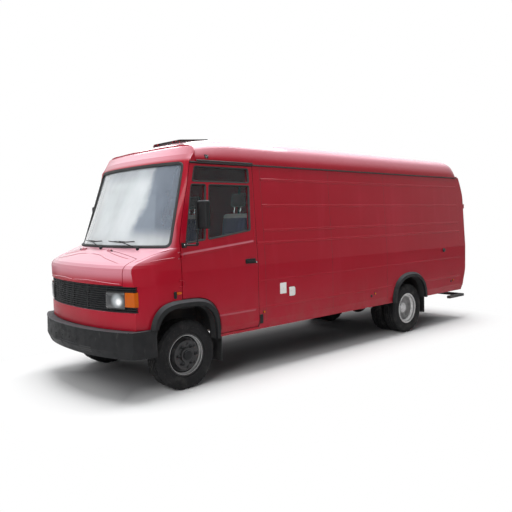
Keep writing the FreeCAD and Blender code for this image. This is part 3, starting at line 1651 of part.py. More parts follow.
def floor():
    """Cab and load floor with the engine cover and the bulkhead under the windscreen."""
    side = body_half_width - door_t - cab_floor_gap
    wide = body_half_width - side_wall_t
    low = floor_top_z - floor_t
    load_y = door_rear_y + panel_gap
    plate = box(-side, side, house_reach, load_y, low, floor_top_z)
    load_plate = box(-wide, wide, load_y, rear_post_y, low, floor_top_z)
    front = box(-front_house_inner_x, front_house_inner_x, firewall_y, house_reach + floor_t, low,
                floor_top_z)
    parts = [plate, load_plate, front]
    outer_half = engine_half_w + tunnel_gap + tunnel_t
    top = engine_high_z + tunnel_gap + tunnel_t
    hump = box(-outer_half, outer_half, firewall_y, engine_rear_y + tunnel_gap + tunnel_t, low, top)
    wall = box(-wide, wide, firewall_y, firewall_y + firewall_t, low, firewall_top_z)
    wall = wall.common(stack(nose_levels(), shell_t, door_rear_y))
    parts += [hump, wall]
    whole = fuse_all(parts)
    inner_half = engine_half_w + tunnel_gap
    core = box(-inner_half, inner_half, firewall_y - overrun, engine_rear_y + tunnel_gap, low - overrun,
               top - tunnel_t)
    whole = whole.cut(core)
    room = house_sheet_t + seat_gap
    whole = whole.cut(both(house(front_house_inner_x - seat_gap, side + overrun, room))
                      + both(rear_house(rear_house_inner_x - seat_gap, wide + overrun, room)))
    for y in (lash_front_y, lash_rear_y):
        for bore in both(rod(V(lash_x, y, low - overrun), V(lash_x, y, floor_top_z + overrun), lash_hole_r)):
            whole = whole.cut(bore)
    for wall in both(side_slab(load_y, rear_post_y, sill_z, drip_z, side_wall_t)):
        whole = whole.cut(wall)
    return whole.cut(nose_shell()).cut(bumper_solid())


def wheelhouses():
    """Pressed tubs over all four wheel positions."""
    side = body_half_width - door_t - cab_floor_gap
    wide = body_half_width - side_wall_t
    front = house(front_house_inner_x, side, house_sheet_t).cut(
        house(front_house_inner_x + house_sheet_t, side + overrun, 0))
    rear = rear_house(rear_house_inner_x, wide, house_sheet_t).cut(
        rear_house(rear_house_inner_x + house_sheet_t, wide + overrun, 0))
    front = front.cut(nose_shell()).cut(bumper_solid())
    rear = rear.cut(side_slab(door_rear_y, rear_post_y, sill_z, drip_z, side_wall_t))
    return group(both(front) + both(rear))


def mudflaps():
    """Rubber flaps behind all four wheel positions."""
    outer_x = rear_tyre_face_x
    front = box(front_flap_inner_x, front_tyre_face_x, house_reach + house_sheet_t,
                house_reach + house_sheet_t + flap_t, front_flap_low_z, floor_top_z - floor_t)
    inner_x = rear_tyre_face_x - twin_spacing - tyre_section
    rear = box(inner_x, outer_x - rear_flap_inset, rear_flap_y, rear_flap_y + flap_t, rear_flap_low_z,
               floor_top_z - floor_t)
    return group(both(front) + both(rear))


def rear_step():
    """Step bar behind the bumper line with returns along the sides and arms to the rails."""
    bar = box(-step_half, step_half, step_y, step_y + step_depth, step_low_z, step_low_z + step_h)
    inner = rail_outer_x - rail_web_t
    foot_z = sill_z - step_sill_gap
    arm_rear_y = rail_rear_y - step_sill_gap * 2
    arm = plate_x([(rail_rear_y - step_depth * 2, rail_top_z - rail_depth), (arm_rear_y,
                                                                             rail_top_z - rail_depth),
                   (arm_rear_y, foot_z), (step_y, step_low_z + step_h), (step_y, step_low_z),
                   (rail_rear_y - step_depth * 2, foot_z - step_h)], inner, rail_outer_x)
    side = box(step_half - step_return_w, step_half, step_return_y, step_y, step_low_z, step_low_z + step_h)
    return fuse_all([bar] + both(arm) + both(side))


def bumper_levels():
    """Plan rows of the bumper."""
    full = -bumper_full_reach
    return [
        (bumper_low_z, -bumper_bottom_reach, (bumper_corner_x - bumper_wall / 2, -bumper_corner_reach), full),
        (bumper_kink_z, -bumper_mid_reach, (bumper_corner_x, -bumper_corner_reach), full),
        (bumper_high_z, -bumper_top_reach, (bumper_corner_x, -bumper_corner_reach), full),
    ]


def bumper_solid():
    """One-piece bumper that wraps back to the front arches."""
    outer = stack(bumper_levels(), 0, bumper_end_y)
    inner = stack(bumper_levels(), bumper_wall, bumper_end_y + overrun)
    return outer.cut(inner)


def bumper():
    """Front bumper with its plate recess and tow slots."""
    whole = bumper_solid()
    recess = box(-plate_half_w, plate_half_w, -front_overhang, -bumper_mid_reach + plate_depth,
                 plate_low_z, plate_high_z)
    return whole.cut(recess)


def bumper_space():
    """Block that the bumper's ends fill beside the front arches."""
    reach = body_half_width + overrun
    return box(-reach, reach, -front_overhang, bumper_end_y + panel_gap, 0, bumper_high_z + seat_gap)


def dashboard():
    """Dashboard with its binnacle and the steering column."""
    face = (dash_rear_y - dash_front_y) * dash_face_share
    outline = [(dash_front_y, dash_low_z), (dash_rear_y - face, dash_low_z), (dash_rear_y,
                                                                              dash_high_z - binnacle_h),
               (dash_rear_y - face / 2, dash_high_z), (dash_front_y, dash_high_z)]
    board = plate_x(outline, -dash_half_w, dash_half_w)
    hood = plate_x([(dash_front_y / 2 + dash_rear_y / 2, dash_high_z), (dash_rear_y,
                                                                        dash_high_z - binnacle_h),
                    (dash_rear_y + binnacle_h / 2, dash_high_z), (dash_rear_y, dash_high_z + binnacle_h)],
                   driver_x - binnacle_half_w, driver_x + binnacle_half_w)
    tilt = math.radians(wheel_tilt)
    axis = V(0, math.sin(tilt), math.cos(tilt))
    end = V(driver_x, wheel_centre_y, wheel_centre_z) - axis * (wheel_hub_t + seat_gap)
    column = rod(end - axis * column_length, end, column_r)
    column = column.cut(box(0, body_half_width, -wheelbase, wheelbase, 0, house_top_z + house_sheet_t))
    bracket = box(driver_x - column_r, driver_x + column_r, dash_rear_y - face, dash_rear_y + column_r,
                  dash_low_z + column_bracket_h, dash_low_z + column_bracket_h * 2)
    whole = fuse_all([board, hood, column, bracket])
    inside = stack(nose_levels(), shell_t, door_rear_y)
    return whole.common(fuse_all([inside, stack(cab_levels(), shell_t, door_rear_y)]))


def steering_wheel():
    """Rim with spokes and hub on the column's axis."""
    rim = Part.makeTorus(wheel_rim_radius, wheel_rim_r)
    hub = Part.makeCylinder(wheel_hub_r, wheel_hub_t, V(0, 0, -wheel_hub_t))
    parts = [rim, hub]
    for angle in spoke_angles:
        spoke = box(0, wheel_rim_radius, -spoke_half_w, spoke_half_w, -spoke_t, 0)
        spoke.rotate(V(0, 0, 0), Z_AXIS, angle)
        parts.append(spoke)
    whole = fuse_all(parts)
    whole.rotate(V(0, 0, 0), X_AXIS, -wheel_tilt)
    whole.translate(V(driver_x, wheel_centre_y, wheel_centre_z))
    return whole


def seat_spans():
    """Left and right edges of the driver's seat and of the double seat."""
    return [(driver_x - seat_half_w, driver_x + seat_half_w), (-bench_outer_x, -bench_inner_x)]


def seat_bases():
    """Boxes under both seats."""
    parts = []
    for x0, x1 in seat_spans():
        parts.append(box(x0 + base_inset, x1 - base_inset, seat_front_y + base_inset,
                         seat_rear_y - base_inset,
                         floor_top_z, seat_z))
    return group(parts)


def seat_cushions():
    """Seat cushions."""
    parts = []
    for x0, x1 in seat_spans():
        block = box(x0, x1, seat_front_y, seat_rear_y, seat_z + soft_gap, seat_z + cushion_t)
        parts.append(block.makeFillet(cushion_r, block.Edges))
    return parts


def back_outline(z0, z1, thickness):
    """Leaning slab in side view between two heights."""
    foot_z = seat_z + cushion_t
    rate = back_lean / (back_high_z - foot_z)
    y0 = seat_rear_y - thickness / 2
    return [(y0 + (z0 - foot_z) * rate, z0), (y0 + thickness + (z0 - foot_z) * rate, z0),
            (y0 + thickness + (z1 - foot_z) * rate, z1), (y0 + (z1 - foot_z) * rate, z1)]


def seat_backs():
    """Backrests."""
    parts = []
    for x0, x1 in seat_spans():
        block = plate_x(back_outline(seat_z + cushion_t + soft_gap, back_high_z, back_t), x0, x1)
        parts.append(block.makeFillet(cushion_r, block.Edges))
    return parts


def head_positions():
    """Middle of each headrest across the cab."""
    quarter = (bench_outer_x - bench_inner_x) / 4
    middle = -(bench_outer_x + bench_inner_x) / 2
    return [driver_x, middle + quarter, middle - quarter]


def headrests():
    """Headrests, each on two posts."""
    parts = []
    for x in head_positions():
        block = plate_x(back_outline(headrest_low_z, headrest_high_z, headrest_t), x - headrest_half_w,
                        x + headrest_half_w)
        block = block.makeFillet(cushion_r, block.Edges)
        outline = back_outline(back_high_z, headrest_low_z, headrest_t)
        low = V(0, (outline[0][0] + outline[1][0]) / 2, back_high_z)
        high = V(0, (outline[2][0] + outline[3][0]) / 2, headrest_low_z)
        for side in (-1, 1):
            shift = X_AXIS * (x + headrest_post_half * side)
            run = high.sub(low)
            post = rod(low + shift + run * post_lap_share, high + shift + run, headrest_post_r)
            block = block.fuse(post)
        parts.append(block.removeSplitter())
    return group(parts)


def grille_bars():
    """Upright grid of slats and ribs that gives the grille its pattern."""
    reach = body_half_width
    count = int((grille_high_z - grille_low_z) / slat_pitch)
    pitch = (grille_high_z - grille_low_z - slat_t) / count
    bars = []
    for number in range(count + 1):
        z = grille_low_z + pitch * number
        bars.append(box(-reach, reach, -front_overhang, 0, z, z + slat_t))
    for share in grille_upright_shares:
        x = lamp_inner_x * share
        bars.append(box(x - slat_t / 2, x + slat_t / 2, -front_overhang, 0, grille_low_z, grille_high_z))
    return fuse_all(bars)


def grille():
    """Dark band across the nose: slats, uprights and lamp surrounds on a back plate."""
    deep = grille_inset + grille_depth
    back = face_band(deep, deep + grille_back_t, grille_low_z, grille_high_z, body_half_width)
    field = face_band(grille_inset, deep, grille_low_z, grille_high_z, body_half_width)
    whole = field.common(grille_bars()).fuse(back)
    return whole.cut(both(lamp_zone()) + both(indicator_zone()))


def lamp_zone():
    """Region of the left headlamp."""
    return box(lamp_inner_x, lamp_outer_x, -front_overhang, 0, lamp_low_z, lamp_high_z)


def indicator_zone():
    """Region of the left indicator, which wraps round the corner."""
    return box(indicator_inner_x, body_half_width + overrun, -front_overhang, indicator_rear_y + overrun,
               indicator_low_z, lamp_high_z)


def headlamps():
    """Pair of rectangular headlamps."""
    band = face_band(-lamp_out, lamp_depth, lamp_low_z, lamp_high_z, body_half_width)
    return group(both(band.common(lamp_zone())))


def indicators():
    """Pair of corner indicators."""
    band = face_band(-lamp_out, lamp_depth, indicator_low_z, lamp_high_z, body_half_width)
    return group(both(band.common(indicator_zone())))


def tail_lamps():
    """Pair of rear lamp blocks on the lower panel."""
    block = box(tail_lamp_inner_x, tail_lamp_outer_x, rear_post_y, tail_lamp_rear_y, tail_lamp_low_z,
                tail_lamp_high_z)
    frame = rear_frame()
    pieces = [piece for piece in block.cut(frame).Solids
              if piece.BoundBox.YMax > tail_lamp_rear_y - seat_gap]
    return group(both(pieces[0]))


def all_nodes():
    """All nodes with the shapes they hold."""
    nodes = {
        "chassis_frame": chassis_frame(),
        "cross_members": cross_members(),
        "leaf_springs": leaf_springs(),
        "front_axle": front_axle(),
        "rear_axle": rear_axle(),
        "engine": engine(),
        "propshaft": propshaft(),
        "fuel_tank": fuel_tank(),
        "exhaust": exhaust(),
        "floor": floor(),
        "wheelhouses": wheelhouses(),
        "nose": nose(),
        "bonnet": bonnet(),
        "cab_frame": cab_frame(),
        "arch_panels": arch_panels(),
        "windscreen": windscreen(),
        "roof_cap": roof_cap(),
        "roof": roof(),
        "roof_hatch": roof_hatch(),
        "side_wall_left": side_wall_left(),
        "side_wall_right": side_wall_right(),
        "sliding_door": sliding_door(),
        "rear_frame": rear_frame(),
        "grille": grille(),
        "headlamps": headlamps(),
        "indicators": indicators(),
        "bumper": bumper(),
        "arch_trims": arch_trims(),
        "mudflaps": mudflaps(),
        "rear_step": rear_step(),
        "tail_lamps": tail_lamps(),
        "dashboard": dashboard(),
        "steering_wheel": steering_wheel(),
        "seat_bases": seat_bases(),
        "seats": group(seat_cushions() + seat_backs()),
        "headrests": headrests(),
        "track_rod": track_rod(),
    }
    for side, sign in (("left", 1), ("right", -1)):
        nodes["cab_door_" + side] = cab_door(sign)
        nodes["door_glass_" + side] = door_glass(sign)
        nodes["mirror_" + side] = mirror(sign)
        nodes["rear_door_" + side] = rear_door(sign)
        nodes["rear_glass_" + side] = rear_glass(sign)
        nodes["knuckle_" + side] = knuckle(sign)
        front = tyre(front_tyre_face_x)
        nodes["tyre_front_" + side] = front if sign > 0 else mirrored(front)
        nodes["rim_front_" + side] = rim_front(sign)
        twin = [tyre(rear_tyre_face_x), tyre(rear_tyre_face_x - twin_spacing)]
        for shape in twin:
            shape.translate(V(0, wheelbase, 0))
        nodes["tyres_rear_" + side] = group(twin if sign > 0 else [mirrored(shape) for shape in twin])
        nodes["rims_rear_" + side] = rims_rear(sign)
    return nodes


def main():
    """Write every node as a STEP file."""
    os.makedirs("parts", exist_ok=True)
    for name, shape in all_nodes().items():
        shape.translate(V(0, front_axle_y, 0))
        shape.exportStep("parts/" + name + ".step")


if __name__ == "__main__":
    main()
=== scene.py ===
"""Looks of the panel van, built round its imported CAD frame.

Metres, in the frame's own axes: X to the vehicle's left, Y to its rear, Z up. Places on the
vehicle are written with Y from the front axle, and at() moves them into the frame.
"""
import math

import bmesh
import bpy
from mathutils import Matrix, Vector
from mathutils.bvhtree import BVHTree


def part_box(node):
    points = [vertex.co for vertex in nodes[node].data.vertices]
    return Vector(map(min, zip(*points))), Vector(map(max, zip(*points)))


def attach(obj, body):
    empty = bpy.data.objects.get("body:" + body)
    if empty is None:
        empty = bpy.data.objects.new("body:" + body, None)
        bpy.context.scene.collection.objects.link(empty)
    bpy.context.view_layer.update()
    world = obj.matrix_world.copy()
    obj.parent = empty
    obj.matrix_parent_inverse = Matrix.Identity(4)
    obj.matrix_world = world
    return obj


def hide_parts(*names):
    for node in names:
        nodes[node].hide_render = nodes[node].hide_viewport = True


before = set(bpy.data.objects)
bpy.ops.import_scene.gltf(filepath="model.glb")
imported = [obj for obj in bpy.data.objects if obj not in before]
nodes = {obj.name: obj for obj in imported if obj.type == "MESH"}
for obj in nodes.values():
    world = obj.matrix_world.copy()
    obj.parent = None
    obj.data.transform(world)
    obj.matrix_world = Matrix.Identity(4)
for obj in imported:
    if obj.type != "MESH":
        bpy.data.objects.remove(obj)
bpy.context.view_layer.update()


def middle(node):
    """Centre of a CAD node's box."""
    low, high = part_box(node)
    return (low + high) / 2


AXLE_Y = middle("tyre_front_left").y
REAR_AXLE_Y = middle("tyres_rear_left").y
WHEELBASE = REAR_AXLE_Y - AXLE_Y
HUB_Z = middle("tyre_front_left").z
LEFT_RIGHT = (("left", 1), ("right", -1))
LEFT, REAR, UP = Vector((1, 0, 0)), Vector((0, 1, 0)), Vector((0, 0, 1))

# Body skin: upright up to the waist, then leaning in to the drip rail
WAIST_Z, BODY_X = 1.3, 1.064
DRIP_Z, DRIP_X = 2.488, 0.983
SILL_Z = 0.53
CAB_FLOOR_Z = 0.884
# The cab door's two creases, each with a band of painted sky highlight: the upper one rises to the rear
WAIST_CREASE_Z, WAIST_SLOPE, LOW_CREASE_Z = 1.502, 0.0945, 0.776
# Wheel arches: (centre, front reach, rear reach, top, power of the curve)
ARCHES = {"front": (-0.075, 0.372, 0.405, 0.937, 3.1), "rear": (4.206, 0.4, 0.402, 0.893, 2.35)}

# Camera, solved from the photograph: azimuth, pitch and roll in degrees, place and focal length
CAMERA_TURN = (47.79, 3.78, -1.2)
CAMERA_PLACE = Vector((6.0213, -6.08546, 1.85415))
CAMERA_LENS = 40.01
# Half width and half length of the painted shadow on the studio floor under the vehicle
FOOTPRINT = (0.95, 3.4)

# Wheels
TYRE_SECTION, TYRE_TREAD, TYRE_RADIUS = 0.215, 0.182, HUB_Z
TREAD_BLOCKS = 60
TWIN_SPACING = 0.252
NUT_COUNT, NUT_RING = 6, 0.104
DARK_DISC, RING_WIDTH = 0.2, 0.016

# Colours, linear
RED = (0.33, 0.002, 0.014)
RED_FADED = (0.38, 0.01, 0.028)
# Pale pink painted reflection of the sky, laid on the paint's upward faces, its front brow and the cab
# door's creases
PAINTED_SKY_PINK = (0.82, 0.45, 0.54)
ROAD_DUST = (0.16, 0.12, 0.1)
TRIM_GREY = (0.009, 0.0095, 0.0105)
TRIM_FADED = (0.034, 0.035, 0.038)
# Grey painted highlight on the dark trim's upward faces
TRIM_TOP_HIGHLIGHT = (0.11, 0.115, 0.125)
RUBBER_BLACK = (0.012, 0.012, 0.013)
TYRE_BLACK = (0.011, 0.011, 0.012)
DUST_GREY = (0.12, 0.115, 0.105)
SILVER = (0.5, 0.5, 0.5)
PLATED = (0.7, 0.7, 0.71)
RIM_DARK = (0.009, 0.0095, 0.011)
UNDER_BLACK = (0.02, 0.02, 0.022)
IRON = (0.075, 0.072, 0.07)
RUST = (0.16, 0.06, 0.025)
STEEL = (0.38, 0.36, 0.34)
FLOOR_GREY = (0.1, 0.1, 0.108)
CABIN_GREY = (0.045, 0.045, 0.05)
NAVY, NAVY_SHEEN = (0.02, 0.035, 0.1), (0.1, 0.14, 0.25)
BAND_GREY, BAND_SHEEN = (0.36, 0.36, 0.35), (0.55, 0.55, 0.53)
CLOTH_BLACK, BLACK_SHEEN = (0.012, 0.012, 0.014), (0.07, 0.07, 0.08)
LINING_GREY = (0.2, 0.2, 0.19)
AMBER = (0.62, 0.12, 0.001)
LAMP_RED = (0.5, 0.006, 0.006)
LAMP_WHITE = (0.9, 0.92, 0.93)
LAMP_DARK = (0.045, 0.047, 0.05)
PLATE_WHITE = (0.75, 0.75, 0.73)
# Glass tints, each with the colour of its pale painted reflection; the windscreen's painted reflection turns
# darker blue-grey towards its left and top
SCREEN_TINT, SCREEN_SHEEN, SCREEN_SHADE = (0.76, 0.83, 0.86), (0.7, 0.74, 0.76), (0.2, 0.24, 0.3)
PANE_TINT, PANE_SHEEN = (0.86, 0.89, 0.89), (0.42, 0.48, 0.53)
# Studio floor, and its painted shadow under the vehicle
STUDIO_WHITE, STUDIO_SHADE = (0.92, 0.92, 0.92), (0.35, 0.35, 0.36)


def at(x, y, z):
    """Point in the frame from a place with Y measured from the front axle."""
    return Vector((x, AXLE_Y + y, z))


def side_x(z):
    """Half width of the body skin at a height."""
    if z <= WAIST_Z:
        return BODY_X
    return BODY_X + (DRIP_X - BODY_X) * (z - WAIST_Z) / (DRIP_Z - WAIST_Z)


class Look:
    """One procedural finish, built up in layers over object coordinates."""

    def __init__(self, name, colour, rough, round_edge=0.0, **sockets):
        self.material = bpy.data.materials.new(name)
        self.material.use_nodes = True
        self.tree = self.material.node_tree
        self.shader = self.tree.nodes["Principled BSDF"]
        self.colour = (*colour, 1.0)
        self.rough = rough
        self.normal = None
        self.place = self.node("TexCoord").outputs["Object"]
        for key, value in sockets.items():
            self.shader.inputs[key.replace("_", " ")].default_value = value
        if round_edge:
            self.normal = self.node("Bevel", {"Radius": round_edge}, samples=4).outputs["Normal"]

    def node(self, kind, inputs=None, **settings):
        """New shader node with its settings made and its inputs fed."""
        made = self.tree.nodes.new("ShaderNode" + kind)
        for key, value in settings.items():
            setattr(made, key, value)
        for key, value in (inputs or {}).items():
            self.feed(made.inputs[key], value)
        return made

    def feed(self, socket, value):
        """Link a socket to an output, or set its number or colour."""
        if isinstance(value, bpy.types.NodeSocket):
            self.tree.links.new(value, socket)
        else:
            socket.default_value = value

    def stretched(self, stretch=(1, 1, 1)):
        """Object coordinates scaled along each axis."""
        return self.node("Mapping", {"Vector": self.place, "Scale": stretch}).outputs["Vector"]

    def noise(self, scale, detail, *stretch):
        """Cloudy pattern."""
        return self.node("TexNoise", {"Vector": self.stretched(*stretch), "Scale": scale,
                                      "Detail": detail}).outputs["Fac"]

    def patches(self, scale, detail, low, high, *stretch):
        """Clouds cut off below one level and full above another."""
        return self.spread(self.noise(scale, detail, *stretch), low, high)

    def cells(self, scale):
        """Distance to the nearest cell."""
        return self.node("TexVoronoi", {"Vector": self.stretched(), "Scale": scale}).outputs["Distance"]

    def waves(self, scale, direction, distortion=0.0):
        """Parallel bands along one axis."""
        return self.node("TexWave", {"Vector": self.place, "Scale": scale, "Distortion": distortion},
                         bands_direction=direction).outputs["Fac"]

    def coordinate(self, axis):
        """One object coordinate."""
        return self.node("SeparateXYZ", {0: self.place}).outputs[axis]

    def facing(self, axis):
        """How far the surface faces along one axis."""
        normal = self.node("NewGeometry").outputs["Normal"]
        return self.node("SeparateXYZ", {0: normal}).outputs[axis]

    def radius(self, centre):
        """Distance from a wheel's axis."""
        away = self.node("VectorMath", {0: self.place, 1: centre}, operation="SUBTRACT").outputs[0]
        flat = self.node("VectorMath", {0: away, 1: (0, 1, 1)}, operation="MULTIPLY").outputs[0]
        return self.node("VectorMath", {0: flat}, operation="LENGTH").outputs["Value"]

    def spread(self, value, low, high):
        """Zero below low, one above high, smooth between."""
        return self.node("MapRange", {"Value": value, "From Min": low, "From Max": high},
                         interpolation_type="SMOOTHSTEP").outputs["Result"]

    def maths(self, operation, *values):
        """Arithmetic on values, taken from the left."""
        total = values[0]
        for value in values[1:]:
            total = self.node("Math", {0: total, 1: value}, operation=operation).outputs[0]
        return total

    def times(self, *values):
        """Product of values."""
        return self.maths("MULTIPLY", *values)

    def off(self, value, place):
        """Distance of a value from a place."""
        return self.maths("ABSOLUTE", self.maths("SUBTRACT", value, place), 0)

    def blend(self, share, first, second):
        """Colour between two by a share."""
        return self.node("Mix", {0: share, 6: first, 7: second}, data_type="RGBA").outputs[2]

    def tint(self, mask, colour, amount=1.0):
        """Lay a colour over the finish where the mask is high."""
        self.colour = self.blend(self.times(mask, amount), self.colour, (*colour, 1.0))

    def dull(self, mask, rough, amount=1.0):
        """Change the roughness where the mask is high."""
        self.rough = self.node("Mix", {0: self.times(mask, amount), 2: self.rough, 3: rough},
                               data_type="FLOAT").outputs[0]

    def relief(self, height, strength, depth):
        """Add bumps from a height pattern."""
        made = self.node("Bump", {"Height": height, "Strength": strength, "Distance": depth})
        if self.normal:
            self.feed(made.inputs["Normal"], self.normal)
        self.normal = made.outputs["Normal"]

    def clouds(self, *tints, dull=None, relief=None):
        """Patchy tints, one patchy change of roughness and a fine relief; gives the look back.

        A tint is (scale, detail, low, high, colour, amount), then a stretch if any. The change is
        (scale, detail, low, high, roughness) and the relief (scale, detail, strength, depth).
        """
        for scale, detail, low, high, colour, amount, *stretch in tints:
            self.tint(self.patches(scale, detail, low, high, *stretch), colour, amount)
        if dull:
            self.dull(self.patches(*dull[:4]), dull[4])
        if relief:
            self.relief(self.noise(*relief[:2]), *relief[2:])
        return self

    def cover(self, share, other):
        """Show another shader over the finish by a share of it."""
        mix = self.node("MixShader", {0: share, 1: self.shader.outputs[0], 2: other.outputs[0]})
        self.feed(self.tree.nodes["Material Output"].inputs["Surface"], mix.outputs[0])

    def done(self):
        """Join the layers to the shader."""
        self.feed(self.shader.inputs["Base Color"], self.colour)
        self.feed(self.shader.inputs["Roughness"], self.rough)
        if self.normal:
            self.feed(self.shader.inputs["Normal"], self.normal)
        return self.material


def body_paint():
    """Red enamel: cloudy fading, road dust low down, and a pale pink painted reflection of the sky where the
    sky would show in it.
    """
    look = Look("body_paint", RED, 0.38, 0.004, Specular_IOR_Level=0.12, Coat_Roughness=0.06)
    height, along = look.coordinate("Z"), look.coordinate("Y")
    look.clouds((0.9, 4, 0.42, 0.72, RED_FADED, 0.5),
                (3.0, 6, 0.52, 0.75, RED_FADED, 0.35, (2.5, 2.5, 0.3)))
    low = look.spread(height, 1.05, 0.5)
    dust = look.times(low, look.patches(7.0, 8, 0.35, 0.75))
    look.tint(dust, ROAD_DUST, 0.16)
    look.dull(dust, 0.6)
    look.tint(look.times(look.patches(160.0, 2, 0.66, 0.74), low), ROAD_DUST, 0.3)
    # Painted reflection of the sky, pale pink, on the bonnet, on the roof and on the front above the
    # bonnet's lip
    ahead = look.spread(along, AXLE_Y - 0.1, AXLE_Y - 0.16)
    above = look.spread(height, 2.49, 2.53)
    up = look.times(look.spread(look.facing("Z"), 0.12, 0.85), look.maths("MAXIMUM", ahead, above))
    brow = look.times(look.spread(height, 1.215, 1.33), look.spread(look.facing("Y"), -0.3, -0.8),
                      ahead, 0.55)
    look.tint(look.maths("MAXIMUM", up, brow), PAINTED_SKY_PINK, 0.78)
    # Painted highlight of the sky along the two creases of the cab door
    beside = look.times(look.spread(along, AXLE_Y - 0.11, AXLE_Y - 0.09),
                        look.spread(along, AXLE_Y + 0.95, AXLE_Y + 0.92))
    waist = look.maths("SUBTRACT", height, look.times(along, WAIST_SLOPE))
    waist_z = WAIST_CREASE_Z - WAIST_SLOPE * AXLE_Y
    for value, place, amount in ((waist, waist_z, 0.3), (height, LOW_CREASE_Z, 0.16)):
        band = look.spread(look.off(value, place), 0.016, 0.004)
        look.tint(look.times(band, beside), PAINTED_SKY_PINK, amount)
    look.feed(look.shader.inputs["Coat Weight"], look.maths("ADD", look.times(up, 0.8), 0.16))
    look.relief(look.noise(420.0, 1), 0.05, 0.0005)
    look.relief(look.noise(2.2, 2), 0.12, 0.004)
    return look.done()


def dark_trim():
    """Moulded dark plastic, with a painted grey highlight on its upward faces."""
    look = Look("dark_trim", TRIM_GREY, 0.55, 0.005, Specular_IOR_Level=0.2)
    look.clouds((5.0, 7, 0.5, 0.8, TRIM_FADED, 0.3), (26.0, 6, 0.6, 0.8, DUST_GREY, 0.2, (1, 1, 0.4)),
                dull=(11.0, 4, 0.4, 0.7, 0.72))
    # Painted highlight: paler grey on faces that look up
    look.tint(look.spread(look.facing("Z"), 0.35, 0.95), TRIM_TOP_HIGHLIGHT, 0.7)
    look.relief(look.cells(700.0), 0.22, 0.0006)
    return look.done()


def clear_glass(name, colour, film, bend, sheen, shade=None):
    """Window glass of a refraction under a pale painted reflection of the sky in an uneven, streaky film,
    the painted reflection darker towards its left and top where a shade colour is given.
    """
    look = Look(name, colour, 0.02, Transmission_Weight=1.0, IOR=bend)
    look.dull(look.patches(2.6, 7, 0.5, 0.85), 0.06, 0.5)
    # Pale painted reflection of the sky, laid over the glass by the film's share
    skin = look.node("BsdfPrincipled", {"Base Color": (*sheen, 1.0), "Roughness": 0.2, "Coat Weight": 0.6,
                                        "Coat Roughness": 0.03})
    # Darker blue-grey painted reflection towards the vehicle's left and towards the top
    if shade:
        edge = look.maths("ADD", look.coordinate("X"), look.times(look.noise(2.2, 4), 0.35))
        left = look.times(look.spread(edge, 0.58, 0.72), look.spread(look.coordinate("Z"), 1.6, 1.8))
        top = look.times(look.spread(look.coordinate("Z"), 2.24, 2.42), 0.45)
        colours = look.blend(look.maths("MAXIMUM", left, top), (*sheen, 1.0), (*shade, 1.0))
        look.feed(skin.inputs["Base Color"], colours)
    streak = look.patches(1.2, 5, 0.3, 0.72, (1, 1, 0.5))
    look.cover(look.maths("ADD", look.times(streak, film * 0.5), film * 0.5), skin)
    return look.done()


def rim_paint(name, centre, dark_radius):
    """Silver enamel with brake dust and chips, dark inside a radius and beyond the ring round it."""
    look = Look(name, SILVER, 0.34, 0.003, Metallic=0.55, Coat_Weight=0.3)
    if dark_radius:
        away = look.radius(centre)
        beyond = dark_radius + RING_WIDTH
        dark = look.maths("ADD", look.spread(away, dark_radius + 0.002, dark_radius),
                          look.spread(away, beyond, beyond + 0.002))
        look.tint(dark, RIM_DARK)
        look.dull(dark, 0.45)
    return look.clouds((18.0, 7, 0.45, 0.75, IRON, 0.28), (60.0, 4, 0.66, 0.72, RUST, 0.6),
                       dull=(18.0, 7, 0.45, 0.75, 0.75), relief=(220.0, 2, 0.1, 0.0004)).done()


def lamp_lens(name, colour, cast):
    """Ribbed lamp lens."""
    look = Look(name, colour, 0.05, Transmission_Weight=cast, IOR=1.3, Coat_Weight=0.12)
    look.clouds((20.0, 5, 0.55, 0.8, ROAD_DUST, 0.12), dull=(16.0, 4, 0.6, 0.8, 0.2))
    look.relief(look.waves(16.0, "X"), 0.06, 0.0006)
    look.relief(look.waves(12.0, "Z"), 0.04, 0.0005)
    return look.done()


def headlamp_lens():
    """Opaque headlamp glass with painted reflections: a grey ring and a white spot stand for the round
    reflector's shine behind it, on a dark ground for the housing.
    """
    look = Look("headlamp_lens", LAMP_DARK, 0.1, Coat_Weight=0.5, Coat_Roughness=0.04)
    across = look.maths("ABSOLUTE", look.coordinate("X"), 0)
    # Painted reflection of the reflector: a grey ring, then a white spot
    for x, z, inner, outer, colour in ((0.806, 1.047, 0.03, 0.088, (0.4, 0.43, 0.45)),
                                       (0.826, 1.035, 0.012, 0.05, (1.0, 1.0, 1.0))):
        sides = look.maths("SUBTRACT", across, x), look.maths("SUBTRACT", look.coordinate("Z"), z)
        away = look.maths("SQRT", look.maths("ADD", *(look.times(side, side) for side in sides)), 0)
        look.tint(look.spread(away, outer, inner), colour)
    look.clouds((20.0, 5, 0.5, 0.8, ROAD_DUST, 0.15), dull=(16.0, 4, 0.6, 0.8, 0.25))
    look.relief(look.waves(9.0, "X"), 0.12, 0.0008)
    return look.done()


def cabin_plastic():
    """Grained dark cab plastic."""
    look = Look("interior_plastic", CABIN_GREY, 0.6, 0.004)
    look.clouds((6.0, 6, 0.5, 0.8, DUST_GREY, 0.35), dull=(10.0, 4, 0.4, 0.7, 0.74))
    look.relief(look.cells(520.0), 0.3, 0.0007)
    return look.done()


def cloth(name, colour, sheen):
    """Woven upholstery: crossed threads, colour flecks and rubbed places."""
    look = Look(name, colour, 0.92, Sheen_Weight=0.35, Sheen_Roughness=0.5)
    across, along, depth = (look.waves(230.0, axis, 0.4) for axis in "XZY")
    weave = look.maths("MAXIMUM", look.times(across, along), look.times(along, depth))
    look.tint(look.spread(weave, 0.2, 0.9), sheen, 0.3)
    look.clouds((85.0, 4, 0.52, 0.7, sheen, 0.3), (4.0, 5, 0.5, 0.8, sheen, 0.25),
                dull=(6.0, 4, 0.5, 0.8, 0.75))
    look.relief(weave, 0.5, 0.0009)
    return look.done()


PAINT = body_paint()
TRIM = dark_trim()
